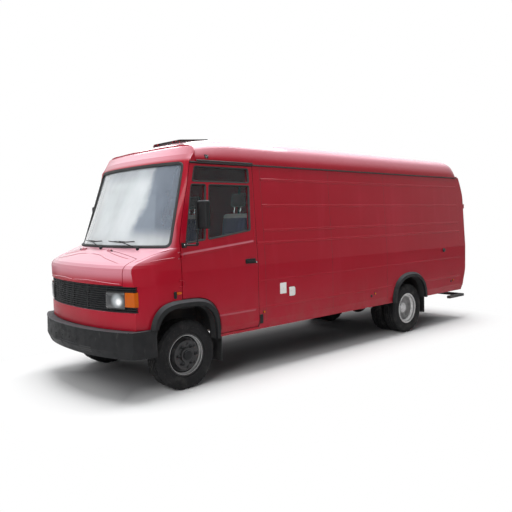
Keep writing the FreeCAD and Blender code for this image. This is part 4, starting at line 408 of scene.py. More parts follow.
# Black seal rubber with a dusty bloom
RUBBER = Look("rubber", RUBBER_BLACK, 0.62, 0.002).clouds(
    (14.0, 6, 0.5, 0.8, DUST_GREY, 0.18), relief=(260.0, 2, 0.15, 0.0004)).done()
# Tyre rubber with dust in its low places
TYRE = Look("tyre", TYRE_BLACK, 0.78, Specular_IOR_Level=0.2).clouds(
    (6.0, 8, 0.45, 0.75, DUST_GREY, 0.22), (45.0, 5, 0.55, 0.75, DUST_GREY, 0.16),
    dull=(9.0, 4, 0.4, 0.7, 0.9), relief=(330.0, 3, 0.3, 0.0008)).done()
SCREEN_GLASS = clear_glass("screen_glass", SCREEN_TINT, 0.9, 1.4, SCREEN_SHEEN, SCREEN_SHADE)
SIDE_GLASS = clear_glass("side_glass", PANE_TINT, 0.02, 1.2, PANE_SHEEN)
# Satin black underbody paint with road film and rust at stone chips
UNDER = Look("chassis_black", UNDER_BLACK, 0.6, 0.003).clouds(
    (4.0, 7, 0.42, 0.72, ROAD_DUST, 0.35), (38.0, 5, 0.64, 0.72, RUST, 0.6),
    dull=(8.0, 4, 0.4, 0.7, 0.85), relief=(120.0, 4, 0.25, 0.0008)).done()
# Rough grey casting with oil stains and rust bloom
CAST = Look("cast_iron", IRON, 0.58, 0.003, Metallic=0.7).clouds(
    (7.0, 6, 0.5, 0.75, RUST, 0.45), (3.0, 5, 0.55, 0.8, UNDER_BLACK, 0.7),
    dull=(12.0, 4, 0.4, 0.7, 0.8), relief=(240.0, 4, 0.4, 0.001)).done()
# Dull pipe steel, heat-stained and rusty
PIPE = Look("exhaust_steel", STEEL, 0.45, Metallic=0.9).clouds(
    (5.0, 6, 0.38, 0.68, RUST, 0.75, (1, 0.3, 1)), (22.0, 5, 0.6, 0.75, UNDER_BLACK, 0.5),
    dull=(9.0, 4, 0.4, 0.7, 0.8), relief=(180.0, 3, 0.25, 0.0006)).done()
# Plated metal with faint pitting
BRIGHT = Look("bright_metal", PLATED, 0.2, Metallic=1.0).clouds(
    dull=(30.0, 5, 0.5, 0.75, 0.34), relief=(40.0, 2, 0.04, 0.0003)).done()
# Matt grey floor paint, scuffed to metal along the load floor
FLOOR = Look("floor_paint", FLOOR_GREY, 0.66, 0.004).clouds(
    (8.0, 8, 0.56, 0.72, STEEL, 0.35, (1, 0.15, 1)), (3.0, 6, 0.45, 0.75, ROAD_DUST, 0.4),
    dull=(14.0, 4, 0.4, 0.7, 0.85), relief=(90.0, 3, 0.2, 0.0006)).done()
HEAD_LENS = headlamp_lens()
CLEAR_LENS = lamp_lens("lamp_clear", LAMP_WHITE, 0.9)
AMBER_LENS = lamp_lens("lamp_amber", AMBER, 0.25)
RED_LENS = lamp_lens("lamp_red", LAMP_RED, 0.2)
CABIN = cabin_plastic()
# Pale grey cab and load lining board
LINING = Look("lining", LINING_GREY, 0.8).clouds(
    (5.0, 7, 0.45, 0.75, DUST_GREY, 0.4),
    dull=(13.0, 4, 0.4, 0.7, 0.92), relief=(400.0, 3, 0.3, 0.0008)).done()
SEAT_CLOTH = cloth("seat_fabric", NAVY, NAVY_SHEEN)
HEAD_CLOTH = cloth("headrest_fabric", CLOTH_BLACK, BLACK_SHEEN)
BAND_CLOTH = cloth("band_fabric", BAND_GREY, BAND_SHEEN)
# White enamelled plate with nothing on it
PLATE = Look("blank_plate", PLATE_WHITE, 0.4, 0.001, Coat_Weight=0.3).clouds(
    (30.0, 6, 0.5, 0.8, ROAD_DUST, 0.25),
    dull=(24.0, 3, 0.5, 0.8, 0.6), relief=(200.0, 2, 0.08, 0.0003)).done()
RIM_FRONT = rim_paint("rim_front", at(0, 0, HUB_Z), DARK_DISC)
RIM_REAR = rim_paint("rim_rear", at(0, WHEELBASE, HUB_Z), 0)

FINISHES = {
    UNDER: ("chassis_frame", "cross_members", "leaf_springs", "front_axle", "rear_axle", "propshaft",
            "fuel_tank", "wheelhouses", "rear_step", "track_rod"),
    CAST: ("engine", "knuckle"), PIPE: ("exhaust",), FLOOR: ("floor",), HEAD_LENS: ("headlamps",),
    PAINT: ("nose", "bonnet", "cab_frame", "arch_panels", "roof_cap", "roof", "side_wall", "sliding_door",
            "rear_frame", "cab_door", "rear_door"),
    TRIM: ("roof_hatch", "grille", "bumper", "arch_trims", "mirror"), RUBBER: ("mudflaps",),
    SCREEN_GLASS: ("windscreen",), SIDE_GLASS: ("door_glass", "rear_glass"), AMBER_LENS: ("indicators",),
    RED_LENS: ("tail_lamps",), CABIN: ("dashboard", "steering_wheel", "seat_bases"),
    SEAT_CLOTH: ("seats",), HEAD_CLOTH: ("headrests",), TYRE: ("tyre_front", "tyres_rear"),
    RIM_FRONT: ("rim_front",), RIM_REAR: ("rims_rear",),
}


def dress_nodes():
    """Give each CAD node its finish."""
    finish_of = {stem: finish for finish, stems in FINISHES.items() for stem in stems}
    for name, node in nodes.items():
        node.data.materials.clear()
        node.data.materials.append(finish_of[name.removesuffix("_left").removesuffix("_right")])


def add_camera():
    """Camera at the photograph's place, from its solved angles."""
    azimuth, pitch, roll = (math.radians(angle) for angle in CAMERA_TURN)
    level = Vector((-math.sin(azimuth), math.cos(azimuth), 0)) * math.cos(pitch)
    ahead = level - UP * math.sin(pitch)
    across = Vector((math.cos(azimuth), math.sin(azimuth), 0))
    up = across.cross(ahead)
    right = across * math.cos(roll) + up * math.sin(roll)
    top = up * math.cos(roll) - across * math.sin(roll)
    data = bpy.data.cameras.new("camera")
    data.lens, data.sensor_width, data.clip_end = CAMERA_LENS, 36, 200
    camera = bpy.data.objects.new("camera", data)
    turn = Matrix((right, top, -ahead)).transposed().to_4x4()
    camera.matrix_world = Matrix.Translation(CAMERA_PLACE) @ turn
    bpy.context.scene.collection.objects.link(camera)
    bpy.context.scene.camera = camera


def add_floor():
    """Pale studio floor with a painted shadow under the vehicle, white a little way off it."""
    bpy.ops.mesh.primitive_plane_add(size=160)
    ground = bpy.context.object
    ground.name = "studio_floor"
    look = Look("studio_floor", STUDIO_WHITE, 0.9, Specular_IOR_Level=0.1)
    beyond = [look.maths("SUBTRACT", look.maths("ABSOLUTE", look.coordinate(axis), 0), half)
              for axis, half in zip("XY", FOOTPRINT)]
    apart = [look.maths("MAXIMUM", distance, 0) for distance in beyond]
    away = look.maths("SQRT", look.maths("ADD", *(look.times(side, side) for side in apart)), 0)
    # Painted shadow: darker inside the footprint, fading out at its edge
    look.tint(look.spread(look.maths("MAXIMUM", *beyond), 0.0, -0.5), STUDIO_SHADE)
    seen = look.node("LightPath").outputs["Is Camera Ray"]
    white = look.node("Emission", {"Color": (1, 1, 1, 1)})
    look.cover(look.times(seen, look.spread(away, 0.0, 1.0)), white)
    ground.data.materials.append(look.done())


def add_lamp(name, place, target, size, power):
    """Soft rectangular lamp aimed at a point."""
    data = bpy.data.lights.new(name, "AREA")
    data.shape = "RECTANGLE"
    data.size, data.size_y = size
    data.energy = power
    lamp = bpy.data.objects.new(name, data)
    lamp.location = place
    lamp.rotation_euler = (Vector(target) - Vector(place)).to_track_quat("-Z", "Y").to_euler()
    bpy.context.scene.collection.objects.link(lamp)


def add_light():
    """Even pale sky, white where it is seen, mirrored or looked through, with three soft lamps."""
    world = bpy.data.worlds.new("studio")
    world.use_nodes = True
    tree = world.node_tree
    plain = tree.nodes["Background"]
    plain.inputs["Color"].default_value = (0.93, 0.96, 1.0, 1)
    plain.inputs["Strength"].default_value = 0.15
    shown = tree.nodes.new("ShaderNodeBackground")
    shown.inputs["Color"].default_value = (1, 1, 1, 1)
    rays = tree.nodes.new("ShaderNodeLightPath").outputs
    share = rays["Is Camera Ray"]
    for ray in ("Is Glossy Ray", "Is Transmission Ray"):
        either = tree.nodes.new("ShaderNodeMath")
        either.operation = "MAXIMUM"
        tree.links.new(share, either.inputs[0])
        tree.links.new(rays[ray], either.inputs[1])
        share = either.outputs[0]
    mix = tree.nodes.new("ShaderNodeMixShader")
    for number, output in enumerate((share, plain.outputs[0], shown.outputs[0])):
        tree.links.new(output, mix.inputs[number])
    tree.links.new(mix.outputs[0], tree.nodes["World Output"].inputs["Surface"])
    bpy.context.scene.world = world
    bpy.context.scene.view_settings.view_transform = "Standard"
    add_lamp("sky_lamp", (0, 0, 9), (0, 0, 0), (6, 11), 1250)
    add_lamp("front_lamp", (5, -11, 6), (0, -1, 1), (5, 4), 560)
    add_lamp("back_lamp", (-12, 7, 8.5), (0, -1, 1.5), (8, 5), 420)


def loft(rings, capped=True):
    """Shape, as points and faces, through closed rings of points."""
    count = len(rings[0])
    faces = []
    for row in range(len(rings) - 1):
        for number in range(count):
            after = (number + 1) % count
            faces.append((row * count + number, row * count + after,
                          (row + 1) * count + after, (row + 1) * count + number))
    if capped:
        faces.append(tuple(reversed(range(count))))
        faces.append(tuple(range((len(rings) - 1) * count, len(rings) * count)))
    return [Vector(point) for ring in rings for point in ring], faces


def closed_band(rings):
    """Shape through closed rings that also come round to the first again."""
    total = len(rings) * len(rings[0])
    points, faces = loft(rings + [rings[0]], False)
    return points[:total], [tuple(number % total for number in face) for face in faces]


def moved(item, matrix):
    """Shape carried through a matrix."""
    points, faces = item
    return [matrix @ point for point in points], faces


def spun(spot, angle, axis):
    """Matrix of a turn in radians about an axis, then a move to a spot."""
    return Matrix.Translation(spot) @ Matrix.Rotation(angle, 4, axis)


def block(low, high):
    """Block between two corners."""
    (x0, y0, z0), (x1, y1, z1) = low, high
    return loft([[(x0, y0, z), (x1, y0, z), (x1, y1, z), (x0, y1, z)] for z in (z0, z1)])


def circle(sides):
    """Cosine and sine at even steps of a full turn."""
    angles = [2 * math.pi * side / sides for side in range(sides)]
    return [(math.cos(angle), math.sin(angle)) for angle in angles]


def turned(profile, steps):
    """Ring turned about X from (along, radius) points, closed round and along."""
    return closed_band([[(along, radius * cos, radius * sin) for along, radius in profile]
                        for cos, sin in circle(steps)])


def lathe(profile, steps):
    """Solid of revolution about X whose first and last points lie on the axis."""
    return loft([[(along, max(radius, 1e-5) * cos, max(radius, 1e-5) * sin) for cos, sin in circle(steps)]
                 for along, radius in profile])


def tube(path, radius, sides=10):
    """Round bar along a path of points."""
    path = [Vector(point) for point in path]
    rings = []
    across = None
    for number, point in enumerate(path):
        ahead = path[min(number + 1, len(path) - 1)] - path[max(number - 1, 0)]
        ahead.normalize()
        if across is None:
            across = ahead.orthogonal().normalized()
        across = (across - ahead * across.dot(ahead)).normalized()
        up = ahead.cross(across)
        rings.append([point + (across * cos + up * sin) * radius for cos, sin in circle(sides)])
    return loft(rings)


def curve_path(points, steps=6):
    """Smooth path through points, by Catmull-Rom spans."""
    points = [Vector(point) for point in points]
    points = [points[0] * 2 - points[1]] + points + [points[-1] * 2 - points[-2]]
    path = []
    for number in range(1, len(points) - 2):
        a, b, c, d = points[number - 1:number + 3]
        for step in range(steps):
            t = step / steps
            path.append((b * 2 + (c - a) * t + (a * 2 - b * 5 + c * 4 - d) * t * t
                         + (b * 3 - a - c * 3 + d) * t * t * t) / 2)
    path.append(points[-2])
    return path


def bent(points, steps, radius, sides):
    """Round bar along a smooth path through points."""
    return tube(curve_path(points, steps), radius, sides)


def corner_loop(corners, radius, steps):
    """Closed loop of points in a plane with its corners rounded."""
    loop = []
    count = len(corners)
    for number in range(count):
        corner = Vector(corners[number])
        back = (Vector(corners[number - 1]) - corner).normalized() * radius
        ahead = (Vector(corners[(number + 1) % count]) - corner).normalized() * radius
        for step in range(steps + 1):
            t = step / steps
            loop.append(corner + back * (1 - t) ** 2 + ahead * t ** 2)
    return loop


def rectangle(a0, b0, a1, b1):
    """Corners (a, b) of a rectangle."""
    return [(a0, b0), (a1, b0), (a1, b1), (a0, b1)]


def standing(corners, y):
    """Corners (x, z) stood up across the vehicle at a Y of the frame."""
    return [(x, y, z) for x, z in corners]


def flat_loop(corners, radius, steps=6):
    """Rounded closed loop of (a, b) places."""
    return [(point.x, point.y) for point in corner_loop([(a, b, 0) for a, b in corners], radius, steps)]


def box_loop(a0, b0, a1, b1, radius, steps=4):
    """Rounded rectangle of (a, b) places."""
    return flat_loop(rectangle(a0, b0, a1, b1), radius, steps)


def divided(loop, length):
    """Loop of (a, b) places with long spans divided."""
    places = []
    for number, (a, b) in enumerate(loop):
        c, d = loop[(number + 1) % len(loop)]
        count = max(1, int(math.hypot(c - a, d - b) / length))
        places += [(a + (c - a) * step / count, b + (d - b) * step / count) for step in range(count)]
    return places


def framed(loop, width, height, out):
    """Raised band of a width round a closed loop, standing out by a height."""
    centre = sum(loop, Vector()) / len(loop)
    rings = []
    for number, point in enumerate(loop):
        run = (loop[(number + 1) % len(loop)] - loop[number - 1]).normalized()
        inward = out.cross(run).normalized()
        if inward.dot(centre - point) < 0:
            inward = -inward
        rings.append([point, point + out * height, point + inward * width + out * height,
                      point + inward * width])
    return closed_band(rings)


def knob(centre, radius, length, direction, sides, rows):
    """Head standing out along a direction, from rows of (share of length, share of radius)."""
    direction = Vector(direction).normalized()
    across = direction.orthogonal().normalized()
    up = direction.cross(across)
    return loft([[Vector(centre) + direction * length * along + (across * cos + up * sin) * radius * share
                  for cos, sin in circle(sides)] for along, share in rows])


def hexagon(centre, radius, length, direction):
    """Nut or bolt head with a chamfered face."""
    return knob(centre, radius, length, direction, 6, ((0, 1.0), (0.82, 1.0), (1.0, 0.86)))


def button(centre, radius, length, direction, sides=16):
    """Round head with a domed face."""
    return knob(centre, radius, length, direction, sides, ((0, 1.0), (0.6, 1.0), (0.88, 0.86), (1.0, 0.5)))


def piece(name, shapes, material, body, bevel=0.0, segments=2):
    """Blender object from shapes, finished, shaded and riding on a body."""
    points, faces = [], []
    for more_points, more_faces in shapes:
        faces += [tuple(number + len(points) for number in face) for face in more_faces]
        points += more_points
    mesh = bpy.data.meshes.new(name)
    mesh.from_pydata(points, [], faces)
    work = bmesh.new()
    work.from_mesh(mesh)
    bmesh.ops.recalc_face_normals(work, faces=work.faces)
    if bevel:
        sharp = [edge for edge in work.edges if len(edge.link_faces) == 2 and edge.calc_face_angle() > 0.6]
        bmesh.ops.bevel(work, geom=sharp, offset=bevel, segments=segments, profile=0.5, affect="EDGES",
                        clamp_overlap=True)
    work.to_mesh(mesh)
    work.free()
    mesh.materials.append(material)
    made = bpy.data.objects.new(name, mesh)
    bpy.context.scene.collection.objects.link(made)
    mesh.shade_smooth()
    mesh.set_sharp_from_angle(angle=0.6)
    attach(made, body)
    return made


def tyre_profile(angle):
    """Cross outline of a tyre at one angle round it: (along, radius) points."""
    half, edge = TYRE_SECTION / 2, TYRE_TREAD / 2
    deep = TYRE_RADIUS - 0.011
    bead = 0.084
    phase = angle * TREAD_BLOCKS / math.pi
    zig = 0.004 * (1 if int(phase) % 2 else -1)
    low = TYRE_RADIUS - (0.007 if int(phase + 0.5) % 3 == 0 else 0)
    side = [(bead, 0.224), (bead, 0.238), (half * 0.93, 0.246), (half * 0.97, 0.262), (half, 0.285),
            (half, 0.3), (half * 0.985, 0.302), (half * 0.985, 0.318), (half * 0.97, 0.335),
            (half * 0.95, 0.349), (half * 0.955, 0.352), (edge, low - 0.009), (edge * 0.93, low)]
    rib = []
    for centre, top in ((0.056, low), (0.019, TYRE_RADIUS)):
        rib += [(centre + 0.006 + zig, top), (centre + 0.003 + zig, deep),
                (centre - 0.003 + zig, deep), (centre - 0.006 + zig, TYRE_RADIUS)]
    left = [(-along, radius) for along, radius in reversed(side)]
    return side + rib + [(2 * zig - along, radius) for along, radius in reversed(rib)] + left


def tyre_shape(centre):
    """Commercial tyre with zigzag ribs and shoulder blocks, bare of lettering."""
    steps = TREAD_BLOCKS * 4
    rings = []
    for step, (cos, sin) in enumerate(circle(steps)):
        rings.append([centre + Vector((along, radius * cos, radius * sin))
                      for along, radius in tyre_profile(math.pi * step / steps)])
    return closed_band(rings)


def add_tyres():
    """Treaded tyres in place of the plain CAD rings."""
    for side, sign in LEFT_RIGHT:
        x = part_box("tyre_front_left")[1].x - TYRE_SECTION / 2
        tyre = piece(f"tread_front_{side}", [tyre_shape(Vector((sign * x, AXLE_Y, HUB_Z)))], TYRE,
                     f"wheel_front_{side}")
        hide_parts(f"tyre_front_{side}")
        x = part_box("tyres_rear_left")[1].x - TYRE_SECTION / 2
        twins = [tyre_shape(Vector((sign * twin_x, REAR_AXLE_Y, HUB_Z))) for twin_x in (x, x - TWIN_SPACING)]
        tyre = piece(f"tread_rear_{side}", twins, TYRE, f"wheels_rear_{side}")
        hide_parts(f"tyres_rear_{side}")


def around(centre, radius, count):
    """Points on a circle in a plane of constant X."""
    return [centre + Vector((0, radius * cos, radius * sin)) for cos, sin in circle(count)]


def add_wheel_detail():
    """Nuts and studs on all wheels, hub caps and valves on the front ones, hub bolts on the rear."""
    disc_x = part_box("rim_front_left")[1].x - 0.02
    twin_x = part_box("rims_rear_left")[1].x - TYRE_SECTION / 2 - TWIN_SPACING / 2 + 0.015
    flange_x = middle("rear_axle").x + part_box("rear_axle")[1].x + 0.02
    cap = [(0, 0), (0, 0.05), (0.004, 0.054), (0.012, 0.054), (0.016, 0.05), (0.018, 0.03), (0.018, 0.0)]
    for side, sign in LEFT_RIGHT:
        out = LEFT * sign
        disc = Vector((sign * disc_x, AXLE_Y, HUB_Z))
        parts = []
        for spot in around(disc, NUT_RING, NUT_COUNT):
            parts += [button(spot, 0.021, 0.006, out), hexagon(spot + out * 0.004, 0.0155, 0.018, out),
                      button(spot + out * 0.02, 0.0075, 0.012, out, 10)]
        valve = disc + Vector((-sign * 0.02, 0, 0.178))
        parts.append(tube([valve, valve + out * 0.03, valve + out * 0.045 - UP * 0.006], 0.004))
        piece(f"wheel_nuts_front_{side}", parts, TRIM, f"wheel_front_{side}", 0.001)
        turn = Matrix.Translation(disc + out * 0.02) @ Matrix.Scale(sign, 4, LEFT)
        piece(f"hub_cap_front_{side}", [moved(lathe(cap, 36), turn)], TRIM, f"wheel_front_{side}", 0.001)
        parts = []
        for spot in around(Vector((sign * twin_x, REAR_AXLE_Y, HUB_Z)), NUT_RING, NUT_COUNT):
            parts += [hexagon(spot, 0.0165, 0.03, out), button(spot + out * 0.03, 0.0085, 0.02, out, 10)]
        for spot in around(Vector((sign * flange_x, REAR_AXLE_Y, HUB_Z)), 0.058, 8):
            parts.append(hexagon(spot, 0.0075, 0.009, out))
        piece(f"wheel_nuts_rear_{side}", parts, BRIGHT, f"wheels_rear_{side}", 0.001)


# Front skin by height: (z, Y at the middle, X of the corner, Y at the corner), up to the screen's head
NOSE_ROWS = [
    (0.53, -0.82, 0.985, -0.64), (0.768, -0.846, 1.004, -0.64), (0.925, -0.846, 1.004, -0.64),
    (1.19, -0.836, 0.996, -0.646), (1.393, -0.8, 0.969, -0.664), (1.562, -0.49, 1.008, -0.201),
    (2.488, -0.05, 0.909, 0.073),
]
# How sharply the front and the bumper turn back towards their corners
FRONT_POWER = 2.4


def front_y(x, z):
    """Where the nose or the windscreen plane lies at a place across and a height, from the front axle."""
    for low, high in zip(NOSE_ROWS, NOSE_ROWS[1:]):
        if z <= high[0] or high is NOSE_ROWS[-1]:
            share = (z - low[0]) / (high[0] - low[0])
            centre, corner_x, corner_y = (low[n] + (high[n] - low[n]) * share for n in (1, 2, 3))
            return centre + (corner_y - centre) * min(abs(x) / corner_x, 1.0) ** FRONT_POWER


def front_spot(x, z, out=0.0):
    """Point on the front skin with its outward direction, lifted by a distance."""
    step = 0.004
    here = at(x, front_y(x, z), z)
    across = at(x + step, front_y(x + step, z), z) - here
    above = at(x, front_y(x, z + step), z + step) - here
    normal = across.cross(above).normalized()
    if normal.y > 0:
        normal = -normal
    return here + normal * out, normal


def front_frames(places):
    """Frames (point, out, inward) round a closed loop of places (x, z) on the front skin."""
    spots = [front_spot(x, z) for x, z in places]
    count = len(spots)
    centre = sum((spot[0] for spot in spots), Vector()) / count
    frames = []
    for number, (point, normal) in enumerate(spots):
        run = (spots[(number + 1) % count][0] - spots[number - 1][0]).normalized()
        inward = normal.cross(run).normalized()
        if inward.dot(centre - point) < 0:
            inward = -inward
        frames.append((point, normal, inward))
    return frames


def front_ring(places, section):
    """Closed band round a loop on the front skin, whose section is (out, inward) offsets."""
    return closed_band([[point + out * high + inward * along for high, along in section]
                        for point, out, inward in front_frames(places)])


def front_strip(half_count, z, section):
    """Level strip across the front skin, a point every 5 cm, whose section is (out, up) offsets."""
    rings = []
    for number in range(-half_count, half_count + 1):
        point, out = front_spot(number / 20, z)
        rings.append([point + out * high + UP * along for high, along in section])
    return loft(rings)


# Each wiper: X of its pivot, X of the blade's two ends
WIPERS = ((0.69, 0.6, 0.18), (0.08, 0.02, -0.46))
WIPER_PIVOT_Z, WIPER_Z = 1.548, 1.615


def blade_spot(ends, step, out):
    """Point and direction at a step of twelve along a wiper blade."""
    x = ends[0] + (ends[1] - ends[0]) * step / 12
    return front_spot(x, WIPER_Z + 0.012 * abs(step / 6 - 1), out)


def add_windscreen_trim():
    """Seal round the windscreen, strips at its foot and head, parked wipers and washer jets."""
    loop = divided(flat_loop([(-1.0, 1.574), (1.0, 1.574), (0.903, 2.472), (-0.903, 2.472)], 0.06), 0.06)
    section = [(-0.02, 0.016), (0.001, 0.018), (0.005, 0.012), (0.008, 0.002), (0.008, -0.008),
               (0.003, -0.014), (-0.004, -0.014), (-0.02, -0.004)]
    piece("windscreen_seal", [front_ring(loop, section)], RUBBER, "root")
    section = [(-0.01, -0.012), (0.004, -0.012), (0.009, -0.004), (0.009, 0.008), (-0.004, 0.012)]
    piece("screen_foot_strip", [front_strip(19, 1.566, section)], RUBBER, "root")
    section = [(-0.01, -0.006), (0.006, -0.006), (0.009, 0.004), (0.005, 0.014), (-0.01, 0.014)]
    piece("screen_head_strip", [front_strip(17, 2.474, section)], RUBBER, "root")
    arms, blades = [], []
    for pivot_x, *ends in WIPERS:
        base, normal = front_spot(pivot_x, WIPER_PIVOT_Z)
        arms.append(button(base - normal * 0.004, 0.017, 0.03, normal))
        arms.append(hexagon(base + normal * 0.026, 0.008, 0.008, normal))
        reach, _ = front_spot(sum(ends) / 2, 1.622, 0.034)
        elbow, _ = front_spot(pivot_x - 0.1, 1.575, 0.045)
        arms.append(bent([base + normal * 0.022, elbow, reach], 6, 0.0055, 8))
        blades.append(tube([blade_spot(ends, step, 0.02)[0] for step in range(13)], 0.0045, 6))
        rows = []
        for step in range(13):
            point, out = blade_spot(ends, step, 0.004)
            foot, edge, top = UP * 0.002, UP * 0.0035, point + out * 0.016
            rows.append([point - foot, point + foot, top + edge, top - edge])
        blades.append(loft(rows))
        for share in (0.25, 0.75):
            point, out = front_spot(ends[0] + (ends[1] - ends[0]) * share, 1.619, 0.026)
            blades.append(tube([point, (point + reach) / 2 + out * 0.006, reach], 0.0035, 6))
    piece("wiper_arms", arms, TRIM, "root", 0.001)
    piece("wiper_blades", blades, RUBBER, "root")
    jets = []
    for x in (-0.42, 0.36):
        point, normal = front_spot(x, 1.528)
        jets.append(button(point - normal * 0.002, 0.012, 0.011, normal))
        jets.append(button(point + normal * 0.008, 0.005, 0.007, normal + Vector((0, 0.4, 0.6)), 10))
    piece("washer_jets", jets, TRIM, "bonnet", 0.0008)


def skin_spot(y, z, sign, out=0.0):
    """Point on the side skin, lifted by a distance."""
    return at(sign * (side_x(z) + out), y, z)


def skin_plate(loop, sign, low, high):
    """Plate on the side skin whose outline is a loop of (y, z), between two distances out."""
    return loft([[skin_spot(y, z, sign, out) for y, z in loop] for out in (low, high)])


def side_band(places, section, sign, closed=False):
    """Band along places (y, z) on a side, whose section is (out, across) offsets."""
    rings = []
    count = len(places)
    for number, (y, z) in enumerate(places):
        before = places[number - 1] if closed or number else places[number]
        after = places[(number + 1) % count] if closed or number < count - 1 else places[number]
        run = Vector((0, after[0] - before[0], after[1] - before[1])).normalized()
        rings.append([skin_spot(y - run.z * along, z + run.y * along, sign, high)
                      for high, along in section])
    return closed_band(rings) if closed else loft(rings)


# Corners (y, z) of the cab door's three panes: over the rail, the quarter and the main one
TRANSOM = [(0.106, 2.268), (0.928, 2.268), (0.928, 2.436), (0.15, 2.436)]
QUARTER = [(-0.03, 1.6), (0.236, 1.632), (0.292, 2.24), (0.092, 2.24)]
MAIN_PANE = [(0.276, 1.632), (0.902, 1.714), (0.926, 2.24), (0.332, 2.24)]
PANE_SEAL = [(-0.032, 0.002), (-0.02, 0.014), (-0.014, 0.014), (0.001, 0.006), (0.003, 0.0),
             (0.002, -0.005), (-0.002, -0.006), (-0.03, -0.001)]
EDGE_SEAL = [(-0.03, -0.0035), (-0.006, -0.0035), (-0.004, 0), (-0.006, 0.0035), (-0.03, 0.0035)]
GRIP_SECTION = ((-0.005, -0.01), (0.004, -0.011), (0.006, 0.0), (0.004, 0.011), (-0.005, 0.01))


def add_door_trim():
    """Pane seals, handles, locks and seams of the cab doors."""
    for side, sign in LEFT_RIGHT:
        body = f"cab_door_{side}"
        seals = [side_band(divided(flat_loop(corners, 0.026, 4), 0.08), PANE_SEAL, sign, True)
                 for corners in (TRANSOM, QUARTER, MAIN_PANE)]
        piece(f"pane_seals_{side}", seals, RUBBER, body)
        grip = curve_path([skin_spot(y, z, sign, out) for y, z, out in (
            (0.812, 1.362, 0.004), (0.822, 1.362, 0.026), (0.87, 1.36, 0.032), (0.925, 1.358, 0.026),
            (0.936, 1.358, 0.004))], 5)
        section = [Vector((sign * across, 0, up)) for across, up in GRIP_SECTION]
        parts = [skin_plate(box_loop(0.794, 1.33, 0.952, 1.386, 0.012), sign, -0.004, 0.005),
                 loft([[point + offset for offset in section] for point in grip]),
                 button(skin_spot(0.962, 1.34, sign, -0.002), 0.013, 0.01, LEFT * sign)]
        piece(f"cab_door_handle_{side}", parts, TRIM, body, 0.0012)
        key = button(skin_spot(0.962, 1.34, sign, 0.006), 0.007, 0.004, LEFT * sign)
        piece(f"cab_door_key_{side}", [key], BRIGHT, body, 0.0006)
        curl = [(0.925, 1.577), (0.938, 1.586), (0.947, 1.602), (0.953, 1.63), (0.958, 1.68), (0.962, 1.73)]
        ridge = [(-0.002, -0.014), (0.0045, -0.006), (0.0045, 0.006), (-0.002, 0.014)]
        piece(f"door_crease_end_{side}", [side_band(curl, ridge, sign)], PAINT, body)
        for name, line in (("rear", [(0.9925, 0.56), (0.9925, 1.3), (0.9925, 2.466)]),
                           ("head", [(0.1, 2.4655), (0.985, 2.4655)])):
            piece(f"door_{name}_seal_{side}", [side_band(line, EDGE_SEAL, sign)], RUBBER, "root")


# Black rubber strip under the drip rail, dark also as a painted shadow of the rail; over the doors a thicker
# one
GUTTER = [(-0.03, -0.002), (0.0, -0.004), (0.0175, -0.002), (0.0185, 0.005), (0.015, 0.012), (-0.03, 0.012)]
DOOR_RAIL = [(-0.01, 0.0), (0.018, 0.0), (0.0205, 0.006), (0.02, 0.014), (0.014, 0.018), (-0.01, 0.018)]
# The roof lamp's base and lens, each between two rings of (x, y, z) corners
LAMP_BASE = (((0.94, 0.298, 2.528), (0.94, 0.355, 2.528), (0.94, 0.355, 2.575), (0.94, 0.298, 2.575)),
             ((0.985, 0.302, 2.526), (0.985, 0.351, 2.526), (0.978, 0.351, 2.568), (0.978, 0.302, 2.568)))
LAMP_LENS = (((0.981, 0.307, 2.532), (0.981, 0.346, 2.532), (0.975, 0.346, 2.562), (0.975, 0.307, 2.562)),
             ((0.993, 0.313, 2.537), (0.993, 0.34, 2.537), (0.987, 0.34, 2.557), (0.987, 0.313, 2.557)))


def add_roof_trim():
    """Gutter strips under the drip rail and the dark rail over the doors, black rubber that also stands for
    the rail's painted shadow, and the side lamps of the roof.
    """
    for side, sign in LEFT_RIGHT:
        for name, section, stations, z in (("gutter", GUTTER, (0.09, 1.0, 3.0, 5.74), DRIP_Z - 0.014),
                                           ("door_rail", DOOR_RAIL, (0.175, 0.5, 0.99), DRIP_Z + 0.0005)):
            rings = [[at(sign * (DRIP_X + out), y, z + up) for out, up in section] for y in stations]
            piece(f"{name}_{side}", [loft(rings)], RUBBER, "root", 0.001)
        for name, rings, material, edge in (("base", LAMP_BASE, TRIM, 0.004),
                                            ("lens", LAMP_LENS, CLEAR_LENS, 0.003)):
            lamp = loft([[at(sign * x, y, z) for x, y, z in ring] for ring in rings])
            piece(f"roof_lamp_{name}_{side}", [lamp], material, "root", edge)


CURTAIN = ((0.0035, -0.03), (0.0035, -0.0015), (-0.002, -0.0015), (-0.002, -0.03))
# The hatch rim: half width, front and rear edge, height at each, and the lid's thickness over it
HATCH_HALF, HATCH_FRONT, HATCH_REAR = 0.295, 0.45, 0.89
HATCH_LOW, HATCH_HIGH, HATCH_LID = 2.804, 2.84, 0.016


def hatch_z(y):
    """Height of the hatch rim's top at a station."""
    return HATCH_LOW + (HATCH_HIGH - HATCH_LOW) * (y - HATCH_FRONT) / (HATCH_REAR - HATCH_FRONT)


